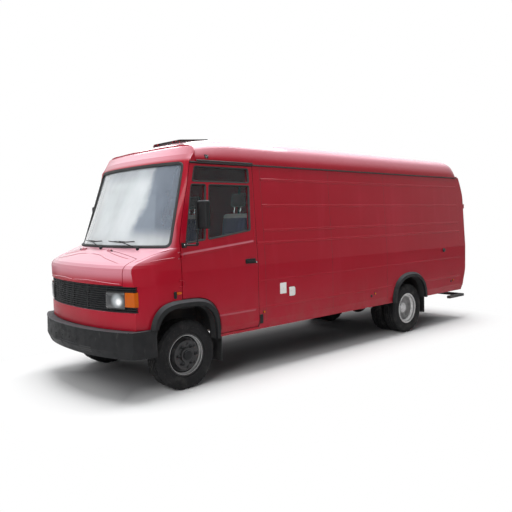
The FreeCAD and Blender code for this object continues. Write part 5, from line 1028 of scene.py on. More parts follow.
def add_hatch_trim():
    """Dark curtain round the hatch rim and ribs on the lid."""
    middle_y, half_y = (HATCH_FRONT + HATCH_REAR) / 2, (HATCH_REAR - HATCH_FRONT) / 2
    rings = []
    for x, y in divided(box_loop(-HATCH_HALF, HATCH_FRONT, HATCH_HALF, HATCH_REAR, 0.02), 0.05):
        away = Vector((x / HATCH_HALF, (y - middle_y) / half_y, 0))
        if away.length > 0.9:
            away = Vector((round(away.x), round(away.y), 0))
        away.normalize()
        spot = at(x, y, hatch_z(y))
        rings.append([spot + away * out + UP * up for out, up in CURTAIN])
    piece("hatch_curtain", [closed_band(rings)], RUBBER, "root")
    ribs = []
    for x in (-0.2, -0.1, 0.0, 0.1, 0.2):
        rows = []
        for step in range(9):
            y = HATCH_FRONT + 0.05 + (HATCH_REAR - HATCH_FRONT - 0.1) * step / 8
            top = hatch_z(y) + HATCH_LID
            high = 0.004 * math.sin(math.pi * step / 8) ** 0.5
            section = ((-0.016, -0.001), (-0.009, high), (0.009, high), (0.016, -0.001))
            rows.append([at(x + across, y, top + up) for across, up in section])
        ribs.append(loft(rows))
    piece("hatch_lid_ribs", ribs, TRIM, "roof_hatch", 0.001)


SQUARE_MARKS = ((3.203, 0.695), (5.466, 0.711))
ROUND_MARKS = ((3.288, 0.722), (1.07, 0.735), (5.53, 0.725))
STOP_PROFILE = [(0, 0), (0, 0.031), (0.006, 0.033), (0.018, 0.031), (0.026, 0.026), (0.03, 0.016),
                (0.03, 0.0)]
FLAP_SEAM = [(-0.002, -0.001), (0.0012, -0.001), (0.0012, 0.001), (-0.002, 0.001)]
WALL_SEAM = [(-0.002, -0.0012), (0.0008, -0.0012), (0.0008, 0.0012), (-0.002, 0.0012)]
WALL_SEAM_Y = (1.108, 2.345, 3.6)
# The right wall starts behind the sliding door
RIGHT_WALL_Y = 2.4


def add_plates():
    """Blank labels and the fuel flap, which are on the left only."""
    plates = [skin_plate(box_loop(1.345, 0.921, 1.455, 1.056, 0.008, 3), 1, -0.003, 0.0022),
              skin_plate(box_loop(1.494, 0.879, 1.606, 0.992, 0.03, 5), 1, -0.003, 0.009)]
    piece("wall_plates", plates, PLATE, "root", 0.0015)
    hinge = [skin_spot(1.492, z, 1, 0.006) for z in (0.89, 0.98)]
    piece("flap_hinge", [tube(hinge, 0.006, 10)], PAINT, "root")
    seam = divided(box_loop(1.49, 0.875, 1.61, 0.996, 0.032, 5), 0.03)
    piece("flap_seam", [side_band(seam, FLAP_SEAM, 1, True)], RUBBER, "root")


def add_wall_trim():
    """Markers, the door stop, seams, repeaters and inlets on both sides."""
    for side, sign in LEFT_RIGHT:
        marks = [skin_plate(box_loop(y - 0.018, z - 0.02, y + 0.018, z + 0.02, 0.01), sign, -0.003, 0.004)
                 for y, z in SQUARE_MARKS]
        lenses = []
        for y, z in ROUND_MARKS:
            marks.append(button(skin_spot(y, z, sign, -0.002), 0.02, 0.007, LEFT * sign, 20))
            lenses.append(button(skin_spot(y, z, sign, 0.003), 0.0155, 0.009, LEFT * sign, 20))
        marks.append(skin_plate(box_loop(1.0, 0.6, 1.05, 0.71, 0.008, 3), sign, -0.003, 0.006))
        piece(f"marker_bases_{side}", marks, TRIM, "root", 0.001)
        piece(f"marker_lenses_{side}", lenses, AMBER_LENS, "root", 0.001)
        turn = Matrix.Translation(skin_spot(5.216, 1.257, sign, -0.001)) @ Matrix.Scale(sign, 4, LEFT)
        piece(f"door_stop_{side}", [moved(lathe(STOP_PROFILE, 32), turn)], RUBBER, "root")
        joints = [side_band([(y, 0.62), (y, 1.3), (y, 2.47)], WALL_SEAM, sign)
                  for y in WALL_SEAM_Y if sign > 0 or y > RIGHT_WALL_Y]
        piece(f"wall_seams_{side}", joints, RUBBER, "root")
        repeater = skin_plate(box_loop(-0.175, 1.071, -0.119, 1.099, 0.012, 5), sign, -0.003, 0.012)
        piece(f"side_repeater_{side}", [repeater], AMBER_LENS, "root", 0.004)
        inlet = skin_plate(box_loop(-0.213, 1.03, -0.178, 1.105, 0.012), sign, -0.003, 0.006)
        piece(f"side_inlet_{side}", [inlet], TRIM, "root", 0.002)


LENS_BOX = (0.652, 0.966, 0.888, 1.128)
LENS_FRAME_BOX = (0.645, 0.958, 0.896, 1.136)
# Covers in layers of (share of the outline, distance out)
LENS_LAYERS = ((0.97, -0.004), (1.0, -0.004), (1.0, 0.002), (0.96, 0.006), (0.8, 0.009), (0.4, 0.011),
               (0.02, 0.011), (0.02, 0.008), (0.4, 0.008), (0.8, 0.006), (0.95, 0.003), (0.97, -0.004))
HOUSING_LAYERS = ((1.0, -0.004), (1.0, -0.05), (0.02, -0.05), (0.02, -0.047), (0.985, -0.044),
                  (0.985, -0.004))
LENS_FRAME = [(-0.004, 0.0), (0.004, 0.001), (0.006, 0.004), (0.004, 0.008), (-0.004, 0.009)]


def front_cover(loop, layers):
    """Domed cover over a loop of (x, z) on the nose."""
    middle_x = sum(x for x, _ in loop) / len(loop)
    middle_z = sum(z for _, z in loop) / len(loop)
    return loft([[front_spot(middle_x + (x - middle_x) * share, middle_z + (z - middle_z) * share, out)[0]
                  for x, z in loop] for share, out in layers])


def add_headlamps():
    """Lens, housing and frame of each headlamp, and the ribs of the indicators."""
    lenses, housings, frames, ribs = [], [], [], []
    for sign in (1, -1):
        loop = [(sign * x, z) for x, z in divided(box_loop(*LENS_BOX, 0.018), 0.03)]
        lenses.append(front_cover(loop, LENS_LAYERS))
        housings.append(front_cover(loop, HOUSING_LAYERS))
        loop = [(sign * x, z) for x, z in divided(box_loop(*LENS_FRAME_BOX, 0.02), 0.03)]
        frames.append(front_ring(loop, LENS_FRAME))
        for number in range(6):
            rings = []
            for step in range(6):
                point, out = front_spot(sign * (0.907 + 0.014 * step), 1.0 + 0.022 * number)
                foot, edge = point - out * 0.003, UP * 0.004
                rings.append([foot - edge, point + out * 0.002, foot + edge])
            ribs.append(loft(rings))
    lamps = piece("headlamp_lenses", lenses, HEAD_LENS, "root")
    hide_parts("headlamps")
    piece("headlamp_housings", housings, TRIM, "root", 0.001)
    piece("headlamp_frames", frames, RUBBER, "root", 0.0006)
    piece("indicator_ribs", ribs, AMBER_LENS, "root")


def bumper_y(x, z):
    """Front face of the bumper at a place across and a height."""
    if z < 0.54:
        share = (z - 0.455) / 0.085
        middle_y, corner_x = -0.902 - 0.048 * share, 0.996 + 0.044 * share
    else:
        middle_y, corner_x = -0.95 + 0.014 * (z - 0.54) / 0.198, 1.04
    return middle_y + (-0.7 - middle_y) * min(abs(x) / corner_x, 1.0) ** FRONT_POWER


def bumper_strip(half, steps, height, section):
    """Strip across the bumper whose section is (out, z), from the bumper's face at a height."""
    rings = []
    for step in range(steps + 1):
        x = -half + 2 * half * step / steps
        face = bumper_y(x, height)
        rings.append([at(x, face - out, z) for out, z in section])
    return loft(rings)


def add_bumper_trim():
    """Bolts, lower slots, the cap strip, pale from the trim's painted top highlight, and the bare plate
    holder of the front bumper.
    """
    bolts = [hexagon(at(x, -0.938 + 0.012 * abs(x), 0.607), 0.008, 0.006, -REAR)
             for x in (-0.26, -0.09, 0.09, 0.26)]
    slots = []
    for sign in (1, -1):
        for y in (-0.52, -0.62):
            bolts.append(button(at(sign * 1.038, y, 0.6), 0.011, 0.006, LEFT * sign))
        for row in range(3):
            z = 0.5 + 0.022 * row
            loop = [(sign * x, height) for x, height in box_loop(0.33, z, 0.52, z + 0.012, 0.005, 3)]
            slots.append(loft([[at(x, bumper_y(x, height) + inward, height) for x, height in loop]
                               for inward in (0.012, -0.0022)]))
    piece("bumper_bolts", bolts, TRIM, "root", 0.0006)
    piece("bumper_slots", slots, RUBBER, "root")
    cap = bumper_strip(0.99, 32, 0.72, [(-0.004, 0.728), (0.0035, 0.73), (0.004, 0.736), (-0.006, 0.7405),
                                        (-0.026, 0.7405), (-0.026, 0.734)])
    piece("bumper_cap", [cap], TRIM, "root")
    bars = [bumper_strip(0.27, 16, 0.6, [(-0.016, z - 0.005), (-0.006, z - 0.004), (-0.006, z + 0.004),
                                         (-0.016, z + 0.005)]) for z in (0.566, 0.645)]
    piece("plate_holder", bars, TRIM, "root", 0.001)


JOINT_PROFILE = [(-0.013, 0.0), (-0.013, 0.014), (-0.009, 0.018), (0.009, 0.018), (0.013, 0.014),
                 (0.013, 0.0)]


def add_mirrors():
    """Mirror faces, their seals, the arm joints and screws."""
    for side, sign in LEFT_RIGHT:
        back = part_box(f"mirror_{side}")[1].y
        body = f"cab_door_{side}"
        centre_x = sign * 1.202
        loop = box_loop(centre_x - 0.07, 1.775, centre_x + 0.07, 2.038, 0.035, 6)
        face = loft([standing(loop, back + out) for out in (-0.003, 0.0015)])
        piece(f"mirror_face_{side}", [face], BRIGHT, body, 0.0008)
        rim = [Vector(point) for point in standing(loop, back - 0.001)]
        piece(f"mirror_seal_{side}", [framed(rim, 0.004, 0.004, REAR)], RUBBER, body)
        joints = [moved(lathe(JOINT_PROFILE, 20), spun(at(sign * 1.159, 0.04, z), math.pi / 2, "Y"))
                  for z in (1.74, 1.6)]
        piece(f"mirror_joints_{side}", joints, TRIM, body, 0.0008)
        screws = [button(at(sign * 1.07, y, 1.585), 0.006, 0.012, UP, 10) for y in (-0.062, -0.032)]
        piece(f"mirror_screws_{side}", screws, BRIGHT, body, 0.0004)


def add_rear_doors():
    """Lock rods, hinge straps, pane seals, handle, bare plate and its lamps on the rear doors."""
    for side, sign in LEFT_RIGHT:
        body = f"rear_door_{side}"
        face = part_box(body)[1].y - AXLE_Y
        x = sign * 0.09
        rods = [tube([at(x, face + 0.004, z) for z in (0.885, 1.3, 1.8, 2.41)], 0.008, 12)]
        bolts = []
        for z in (0.93, 1.2, 1.75, 2.36):
            rods.append(block(at(x - 0.02, face - 0.012, z - 0.014), at(x + 0.02, face + 0.011, z + 0.014)))
            bolts += [hexagon(at(x + across, face + 0.01, z), 0.0045, 0.004, REAR)
                      for across in (-0.014, 0.014)]
        piece(f"rear_lock_rods_{side}", rods, BRIGHT, body, 0.0015)
        piece(f"rear_lock_bolts_{side}", bolts, TRIM, body)
        hinges = []
        for z in (1.24, 1.62, 1.99):
            hinges.append(block(at(sign * 0.86, face - 0.02, z - 0.022),
                                at(sign * 0.985, face + 0.003, z + 0.022)))
            hinges += [button(at(sign * across, face + 0.002, z), 0.007, 0.004, REAR, 12)
                       for across in (0.88, 0.92, 0.96)]
        piece(f"rear_hinge_straps_{side}", hinges, PAINT, body, 0.002)
        pane_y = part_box(f"rear_glass_{side}")[1].y - 0.012
        loop = corner_loop(standing(rectangle(sign * 0.2, 1.62, sign * 0.76, 2.16), pane_y), 0.07, 8)
        piece(f"rear_glass_seal_{side}", [framed(loop, 0.014, 0.02, REAR)], RUBBER, body, 0.002)
    handle = [block(at(0.03, face - 0.004, 1.29), at(0.15, face + 0.006, 1.37)),
              bent([at(x, face + out, z) for x, out, z in (
                  (0.045, 0.004, 1.33), (0.05, 0.022, 1.33), (0.1, 0.026, 1.328), (0.17, 0.022, 1.32))],
                   5, 0.009, 10)]
    piece("rear_handle", handle, TRIM, "rear_door_left", 0.003)
    plate = corner_loop(standing(rectangle(-0.62, 1.08, -0.1, 1.2), AXLE_Y + face - 0.002), 0.01, 3)
    plate = loft([plate, [point + REAR * 0.006 for point in plate]])
    piece("rear_plate", [plate], PLATE, "rear_door_right", 0.001)
    lamps = [block(at(x - 0.03, face - 0.004, 1.212), at(x + 0.03, face + 0.02, 1.236))
             for x in (-0.5, -0.22)]
    piece("plate_lamps", lamps, TRIM, "rear_door_right", 0.004)


def spanned(sign, inner, outer, low, high):
    """Block on one side of the vehicle between two distances across and two corners (y, z)."""
    left, right = sorted((sign * inner, sign * outer))
    return block((left, *low), (right, *high))


def add_tail_lamps():
    """Ribs, reversing and indicator lenses and frames of the tail lamps, and the step's treads."""
    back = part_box("tail_lamps")[1].y
    ribs, clear, amber, frames = [], [], [], []
    for sign in (1, -1):
        for number in range(6):
            z = 0.61 + 0.022 * number
            ribs.append(spanned(sign, 0.842, 1.002, (back - 0.002, z), (back + 0.002, z + 0.006)))
        for lenses, inner, outer in ((clear, 0.842, 0.88), (amber, 0.96, 1.002)):
            lenses.append(spanned(sign, inner, outer, (back - 0.001, 0.606), (back + 0.0035, 0.736)))
        low, high = sorted((sign * 0.834, sign * 1.01))
        loop = corner_loop(standing(rectangle(low, 0.594, high, 0.748), back - 0.03), 0.012, 4)
        frames.append(framed(loop, 0.008, 0.034, REAR))
    piece("tail_lamp_ribs", ribs, RED_LENS, "root", 0.001)
    piece("reversing_lenses", clear, CLEAR_LENS, "root", 0.001)
    piece("rear_indicator_lenses", amber, AMBER_LENS, "root", 0.001)
    piece("tail_lamp_frames", frames, TRIM, "root", 0.001)
    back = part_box("rear_step")[1].y
    treads = [block((x - 0.006, back - 0.062, 0.4345), (x + 0.006, back - 0.006, 0.4385))
              for x in (-0.97 + 1.94 * number / 47 for number in range(48))]
    piece("step_treads", treads, UNDER, "root", 0.001)


def add_side_runner():
    """Rail, handle and seam of the sliding door on the right."""
    section = ((1.2, -0.002), (1.2, 0.008), (1.206, 0.012), (1.234, 0.012), (1.24, 0.008), (1.24, -0.002))
    rail = [[skin_spot(y, z, -1, out) for z, out in section] for y in (2.36, 3.0, 3.5)]
    piece("door_rail_cover", [loft(rail)], PAINT, "root", 0.001)
    grip = [skin_spot(y, z, -1, out) for y, z, out in ((1.19, 1.345, 0.004), (1.2, 1.345, 0.022),
                                                       (1.25, 1.343, 0.026), (1.31, 1.34, 0.02))]
    parts = [skin_plate(box_loop(1.17, 1.3, 1.34, 1.38, 0.016), -1, -0.004, 0.006),
             bent(grip, 5, 0.009, 10),
             button(skin_spot(1.325, 1.32, -1, 0.004), 0.008, 0.006, -LEFT, 12)]
    piece("sliding_door_handle", parts, TRIM, "root", 0.002)
    seam = divided(box_loop(1.1185, 0.6065, 2.3335, 2.3815, 0.03), 0.3)
    section = [(-0.03, -0.002), (-0.005, -0.002), (-0.004, 0), (-0.005, 0.002), (-0.03, 0.002)]
    piece("sliding_door_seal", [side_band(seam, section, -1, True)], RUBBER, "root")


def skin_tree(name):
    """Search tree over the faces of a CAD node."""
    mesh = nodes[name].data
    return BVHTree.FromPolygons([vertex.co.copy() for vertex in mesh.vertices],
                                [tuple(face.vertices) for face in mesh.polygons])


BODY_MIDDLE_Z = 0.8


def pressed(tree, places, half, high):
    """Low ridge along places (x, y, z), laid on the nearest skin and away from the body's middle."""
    frames = []
    for point in curve_path([at(*place) for place in places]):
        spot, normal, _, _ = tree.find_nearest(point)
        if normal.dot(point - Vector((0, point.y, BODY_MIDDLE_Z))) < 0:
            normal = -normal
        frames.append((spot, normal))
    rings = []
    last = len(frames) - 1
    for number, (spot, normal) in enumerate(frames):
        ahead = frames[min(number + 1, last)][0] - frames[max(number - 1, 0)][0]
        across = normal.cross(ahead).normalized()
        fade = min(number, last - number, 2) / 2
        rings.append([spot + across * half * along + normal * up for along, up in (
            (-1, -0.002), (-0.45, high * fade), (0.45, high * fade), (1, -0.002))])
    return loft(rings)


FRONT_CREASE = [(0.0, -0.602, 1.5), (0.232, -0.608, 1.493), (0.431, -0.641, 1.464), (0.61, -0.655, 1.44),
                (0.76, -0.66, 1.42)]
REAR_CREASE = [(0.297, -0.544, 1.541), (0.42, -0.556, 1.52), (0.542, -0.562, 1.495), (0.7, -0.562, 1.475),
               (0.79, -0.555, 1.47)]
SHOULDER = [(1.019, -0.202, 1.553), (0.987, -0.317, 1.522), (0.953, -0.417, 1.49), (0.938, -0.516, 1.455),
            (0.911, -0.593, 1.428)]
FENDER_CREASE = [(1.007, -0.453, 1.433), (1.022, -0.379, 1.439), (1.036, -0.291, 1.449),
                 (1.049, -0.175, 1.458)]
LIP = [(x, -0.84 + 0.2 * (x / 0.996) ** FRONT_POWER, 1.222 + 0.012 * math.sin(x * 5.2))
       for x in (0.0, 0.15, 0.3, 0.45, 0.6, 0.75, 0.85)]


def ridges(tree, lines, half, high):
    """Ridges along lines of places, on both sides of the vehicle."""
    return [pressed(tree, [(sign * x, y, z) for x, y, z in places], half, high)
            for places in lines for sign in (1, -1)]


def add_creases():
    """Pressed ridges of the bonnet and wings, and the bonnet's waved lip."""
    bonnet, nose = skin_tree("bonnet"), skin_tree("nose")
    piece("bonnet_ridges", ridges(bonnet, (FRONT_CREASE, REAR_CREASE), 0.016, 0.005), PAINT, "bonnet")
    beside = ridges(nose, (SHOULDER,), 0.014, 0.005) + ridges(nose, (FENDER_CREASE,), 0.009, 0.004)
    piece("wing_ridges", beside, PAINT, "root")
    piece("bonnet_lip", ridges(bonnet, (LIP,), 0.01, 0.004), PAINT, "bonnet")


def arch_line(arch, spread, steps=24):
    """Places (y, z) along a wheel arch, widened by a distance."""
    centre, front_reach, rear_reach, top, power = arch
    places = []
    for step in range(steps + 1):
        angle = math.pi * step / steps
        share_y = abs(math.cos(angle)) ** (2 / power)
        share_z = abs(math.sin(angle)) ** (2 / power)
        reach, side = (front_reach, -1) if angle < math.pi / 2 else (rear_reach, 1)
        places.append((centre + side * (reach + spread) * share_y,
                       SILL_Z + (top + spread - SILL_Z) * share_z))
    return places


# Outer and inner X of the arch liners
LINER_SPAN = (1.066, 0.98)


def add_arch_liners():
    """Black liners inside each wheel arch, dark also to stand for the shade there."""
    for name, arch in ARCHES.items():
        for side, sign in LEFT_RIGHT:
            outer, inner = sign * LINER_SPAN[0], sign * LINER_SPAN[1]
            rings = [[at(outer, *near), at(outer, *far), at(inner, *far), at(inner, *near)]
                     for near, far in zip(arch_line(arch, -0.002), arch_line(arch, -0.006))]
            piece(f"arch_liner_{name}_{side}", [loft(rings)], RUBBER, "root")


# Mudflaps: inner and outer X, Y, lower and upper Z
MUDFLAPS = ((0.748, 0.966, 0.491, 0.24, 0.6), (0.533, 0.974, 4.767, 0.264, 0.6))


def add_mudflap_detail():
    """Ribs and clamp bars of the mudflaps."""
    ribs, bars = [], []
    for sign in (1, -1):
        for x_in, x_out, y, low, top in MUDFLAPS:
            for number in range(5):
                x = sign * (x_in + (x_out - x_in) * (number + 0.5) / 5)
                ribs.append(block(at(x - 0.004, y - 0.001, low), at(x + 0.004, y + 0.003, top)))
            ends = sorted((sign * (x_in + 0.01), sign * (x_out - 0.01)))
            bars.append(block(at(ends[0], y - 0.001, top + 0.02), at(ends[1], y + 0.004, top + 0.05)))
            for x in (ends[0] + 0.03, ends[1] - 0.03):
                bars.append(hexagon(at(x, y + 0.003, top + 0.035), 0.008, 0.006, REAR))
    piece("mudflap_ribs", ribs, RUBBER, "root", 0.0008)
    piece("mudflap_bars", bars, UNDER, "root", 0.001)


def add_tank_straps():
    """Straps, bolts and the filler cap of the fuel tank."""
    low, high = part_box("fuel_tank")
    straps = []
    for y in (low.y + 0.2, high.y - 0.2):
        outline = rectangle(low.x - 0.003, low.z - 0.003, high.x + 0.003, high.z + 0.003)
        loop = corner_loop(standing(outline, y), 0.03, 4)
        centre = Vector(((low.x + high.x) / 2, y, (low.z + high.z) / 2))
        inner = [point + (centre - point).normalized() * 0.004 for point in loop]
        straps.append(closed_band([[point + REAR * shift for point in ring] for ring, shift in (
            (loop, -0.018), (loop, 0.018), (inner, 0.018), (inner, -0.018))]))
        straps.append(hexagon(Vector((low.x + 0.06, y, low.z - 0.006)), 0.012, 0.008, -UP))
    cap = Vector((low.x, (low.y + high.y) / 2 + 0.2, high.z - 0.06))
    straps.append(button(cap, 0.034, 0.02, -LEFT, 24))
    piece("tank_straps", straps, CAST, "root", 0.001)


# Each axle's dampers: Y of the axle, run to the rear, lean inwards
SPRING_X, DAMPER_X = 0.4, 0.5
DAMPERS = ((0.0, 0.16, 0.05), (WHEELBASE, -0.3, -0.04))


def add_underbody():
    """Brake pipes, spring bolts and dampers."""
    pipes = []
    for x in (0.24, 0.255):
        route = ((x, 0.75, 0.83), (x, 1.8, 0.838), (x + 0.1, 2.6, 0.838), (x + 0.1, 3.6, 0.835),
                 (x, 4.0, 0.8))
        pipes.append(bent([at(*place) for place in route], 8, 0.0045, 8))
    piece("brake_pipes", pipes, PIPE, "root")
    bolts, dampers = [], []
    for axle_y in (0.0, WHEELBASE):
        for sign in (1, -1):
            for y in (-0.058, 0.058):
                for x in (-0.03, 0.03):
                    spot = at(sign * SPRING_X + x, axle_y + y, 0.44)
                    bolts.append(tube([spot - UP * 0.1, spot + UP * 0.06], 0.007, 8))
                    bolts.append(hexagon(spot - UP * 0.08, 0.013, 0.014, -UP))
    for sign in (1, -1):
        for axle_y, run, lean in DAMPERS:
            foot = at(sign * DAMPER_X, axle_y + run * 0.3, 0.47)
            head = at(sign * (DAMPER_X - lean * 0.2), axle_y + run, 0.76)
            ahead = (head - foot).normalized()
            dampers += [tube([foot, foot + ahead * 0.16], 0.026, 16),
                        tube([foot + ahead * 0.15, head - ahead * 0.02], 0.011, 10),
                        tube([head - ahead * 0.1, head - ahead * 0.015], 0.031, 16)]
    piece("spring_bolts", bolts, CAST, "root")
    piece("dampers", dampers, UNDER, "root", 0.001)


def placed(tree, origin, direction):
    """Where a line from a place meets a skin, and the way that skin faces."""
    spot, normal, _, _ = tree.ray_cast(at(*origin), Vector(direction).normalized())
    return spot, -normal if normal.dot(Vector(direction)) > 0 else normal


def sheet_on(spot, normal, half_wide, half_high, thick, radius=0.006):
    """Rounded plate lying on a surface, wide across the vehicle."""
    up = normal.cross(LEFT).normalized()
    return loft([[spot + LEFT * a + up * b + normal * out
                  for a, b in box_loop(-half_wide, -half_high, half_wide, half_high, radius, 3)]
                 for out in (-0.003, thick)])


DIAL_RING = [(-0.004, 0.046), (0.008, 0.047), (0.011, 0.044), (0.009, 0.04), (-0.004, 0.04)]
DIAL_FACE = [(0.0, 0.0), (0.0, 0.041), (0.0022, 0.041), (0.0022, 0.0)]
# Ticks, then the needle: (angle, inner and outer radius, lift off the face, radius of the bar)
DIAL_MARKS = [(tick * 0.5, 0.031, 0.037, 0.003, 0.001) for tick in range(-4, 5)]
DIAL_MARKS.append((-1.4, 0.0, 0.03, 0.0045, 0.0012))
# Where lines to the dashboard start, behind it
DASH_Y = 0.6


def add_dials(tree):
    """Rims, faces, ticks and needles of the two dials."""
    rims, faces, needles = [], [], []
    for x in (0.56, 0.68):
        spot, normal = placed(tree, (x, DASH_Y, 1.52), (0, -1, -0.1))
        turn = Matrix.Translation(spot) @ normal.to_track_quat("X", "Z").to_matrix().to_4x4()
        rims.append(moved(turned(DIAL_RING, 32), turn))
        faces.append(moved(lathe(DIAL_FACE, 32), turn))
        for angle, start, end, lift, radius in DIAL_MARKS:
            run = turn.to_3x3() @ Vector((0, math.sin(angle), math.cos(angle)))
            foot = spot + normal * lift
            needles.append(tube([foot + run * start, foot + run * end], radius, 6))
    piece("dial_rims", rims, BRIGHT, "root")
    piece("dial_faces", faces, CABIN, "root")
    piece("dial_needles", needles, PLATE, "root")


def add_dashboard():
    """Dials, vents, switches, blank radio panel, glovebox seam and the column's levers."""
    tree = skin_tree("dashboard")
    add_dials(tree)
    vents, switches, stalks = [], [], []
    for x in (-0.86, -0.1, 0.1, 0.9):
        spot, normal = placed(tree, (x, DASH_Y, 1.43), -REAR)
        vents.append(sheet_on(spot, normal, 0.058, 0.032, 0.005))
        up = normal.cross(LEFT).normalized()
        vents += [sheet_on(spot + up * row * 0.011 + normal * 0.004, normal, 0.05, 0.0026, 0.006, 0.001)
                  for row in range(-2, 3)]
    for number in range(6):
        spot, normal = placed(tree, (0.22 + 0.036 * number, DASH_Y, 1.36), -REAR)
        switches.append(sheet_on(spot, normal, 0.0135, 0.018, 0.008, 0.003))
    spot, normal = placed(tree, (0.0, DASH_Y, 1.35), -REAR)
    switches.append(sheet_on(spot, normal, 0.092, 0.027, 0.005))
    for x in (-0.074, 0.074):
        switches.append(button(spot + LEFT * x + normal * 0.004, 0.009, 0.014, normal, 16))
    spot, normal = placed(tree, (-0.55, DASH_Y, 1.37), -REAR)
    switches.append(sheet_on(spot, normal, 0.2, 0.07, 0.004, 0.012))
    catch = spot + UP * 0.045 + normal * 0.004
    switches.append(sheet_on(catch, normal, 0.03, 0.008, 0.007, 0.003))
    piece("dash_vents", vents, CABIN, "root", 0.0008)
    piece("dash_switches", switches, CABIN, "root", 0.001)
    for side in (-1, 1):
        foot = at(0.62 + side * 0.03, 0.1, 1.44)
        stalks.append(bent([foot, foot + Vector((side * 0.09, 0.02, 0.01)),
                            foot + Vector((side * 0.16, 0.04, 0.012))], 5, 0.006, 8))
        stalks.append(button(foot + Vector((side * 0.155, 0.038, 0.012)), 0.009, 0.024, (side, 0.2, 0), 12))
    piece("column_stalks", stalks, CABIN, "root", 0.0006)


KNOB_PROFILE = [(-0.026, 0.0), (-0.024, 0.014), (-0.008, 0.023), (0.01, 0.024), (0.022, 0.017),
                (0.026, 0.0)]
# The engine cover's cross outlines: (Y, half width at its foot, height)
COVER_ROWS = ((-0.24, 0.26, 1.24), (0.2, 0.26, 1.2), (0.52, 0.24, 1.12), (0.66, 0.22, 1.02),
              (0.7, 0.21, 0.93))
PEDAL_TILT = 0.6


def add_gear_lever():
    """Gear lever with its knob and stepped gaiter, and the handbrake."""
    parts = [bent([at(0.16, 0.3, 0.9), at(0.165, 0.32, 1.08), at(0.18, 0.36, 1.24)], 6, 0.008, 10),
             moved(lathe(KNOB_PROFILE, 20), spun(at(0.182, 0.366, 1.258), -math.pi / 2, "Y"))]
    for level in range(6):
        less = 0.01 * level
        fold = [(0, 0), (0.0, 0.07 - less), (0.01, 0.072 - less), (0.018, 0.064 - less), (0.018, 0)]
        foot = at(0.16, 0.3, CAB_FLOOR_Z + 0.016 * level)
        parts.append(moved(lathe(fold, 24), spun(foot, -math.pi / 2, "Y")))
    parts.append(bent([at(0.3, 0.62, 0.92), at(0.3, 0.5, 1.0), at(0.3, 0.38, 1.06)], 5, 0.011, 10))
    piece("gear_lever", parts, CABIN, "root", 0.001)


def add_pedals():
    """Pedal pads with ribs, and their arms."""
    pads, arms = [], []
    for x, y in ((0.5, -0.1), (0.62, -0.1), (0.76, -0.12)):
        pad = block((-0.036, -0.008, -0.03), (0.036, 0.008, 0.03))
        pads.append(moved(pad, spun(at(x, y, 1.0), PEDAL_TILT, "X")))
        for rib in range(4):
            z = -0.022 + 0.013 * rib
            pads.append(moved(block((-0.03, -0.012, z), (0.03, -0.007, z + 0.005)),
                              spun(at(x, y, 1.0), math.pi + PEDAL_TILT, "X")))
        arms.append(bent([at(x, y, 1.0), at(x, y - 0.09, 1.09), at(x, y - 0.14, 1.24)], 5, 0.008, 8))
    piece("pedal_pads", pads, RUBBER, "root", 0.001)
    piece("pedal_arms", arms, UNDER, "root")


def add_cab_fittings():
    """Visors, inside mirror, engine cover and mats."""
    visors = []
    for sign in (1, -1):
        loop = box_loop(-0.24, -0.075, 0.24, 0.075, 0.03, 5)
        visors.append(moved(loft([standing(loop, out) for out in (-0.009, 0.009)]),
                            spun(at(sign * 0.46, 0.13, 2.4), -0.5, "X")))
        visors.append(tube([at(sign * 0.2, 0.1, 2.455), at(sign * 0.72, 0.1, 2.455)], 0.005, 8))
    piece("sun_visors", visors, LINING, "root", 0.004, 3)
    loop = box_loop(-0.11, -0.032, 0.11, 0.032, 0.02, 6)
    turn = Matrix.Translation(at(0.0, 0.13, 2.36))
    shell = [moved(loft([[(a * share, out, b * share) for a, b in loop]
                         for out, share in ((0.006, 1.0), (-0.004, 1.0), (-0.016, 0.85))]), turn),
             bent([at(0, 0.11, 2.37), at(0, 0.09, 2.41), at(0, 0.1, 2.46)], 4, 0.006, 8)]
    piece("inside_mirror", shell, CABIN, "root", 0.0015)
    face = moved(loft([[(a * 0.93, out, b * 0.9) for a, b in loop] for out in (0.004, 0.0078)]), turn)
    piece("inside_mirror_face", [face], BRIGHT, "root", 0.0006)
    rings = []
    for y, half, high in COVER_ROWS:
        outline = [(-half, CAB_FLOOR_Z), (half, CAB_FLOOR_Z), (half * 0.86, high), (-half * 0.86, high)]
        rings.append([at(x - 0.13, y, z) for x, z in flat_loop(outline, 0.05, 4)])
    piece("engine_cover", [loft(rings)], CABIN, "root", 0.004)
    mats = []
    for low_x, high_x in ((0.2, 0.9), (-0.9, -0.45)):
        for number in range(16):
            x = low_x + (high_x - low_x) * (number + 0.5) / 16
            mats.append(block(at(x - 0.012, 0.0, 0.881), at(x + 0.012, 0.44, 0.887)))
    piece("cab_mats", mats, RUBBER, "root", 0.001)


DOOR_LINING = [(0.46, 0.66), (0.93, 0.66), (0.93, 1.56), (0.03, 1.5), (0.03, 1.08), (0.36, 1.05)]
POCKET = [(0.52, 0.72), (0.84, 0.72), (0.86, 0.92), (0.5, 0.92)]


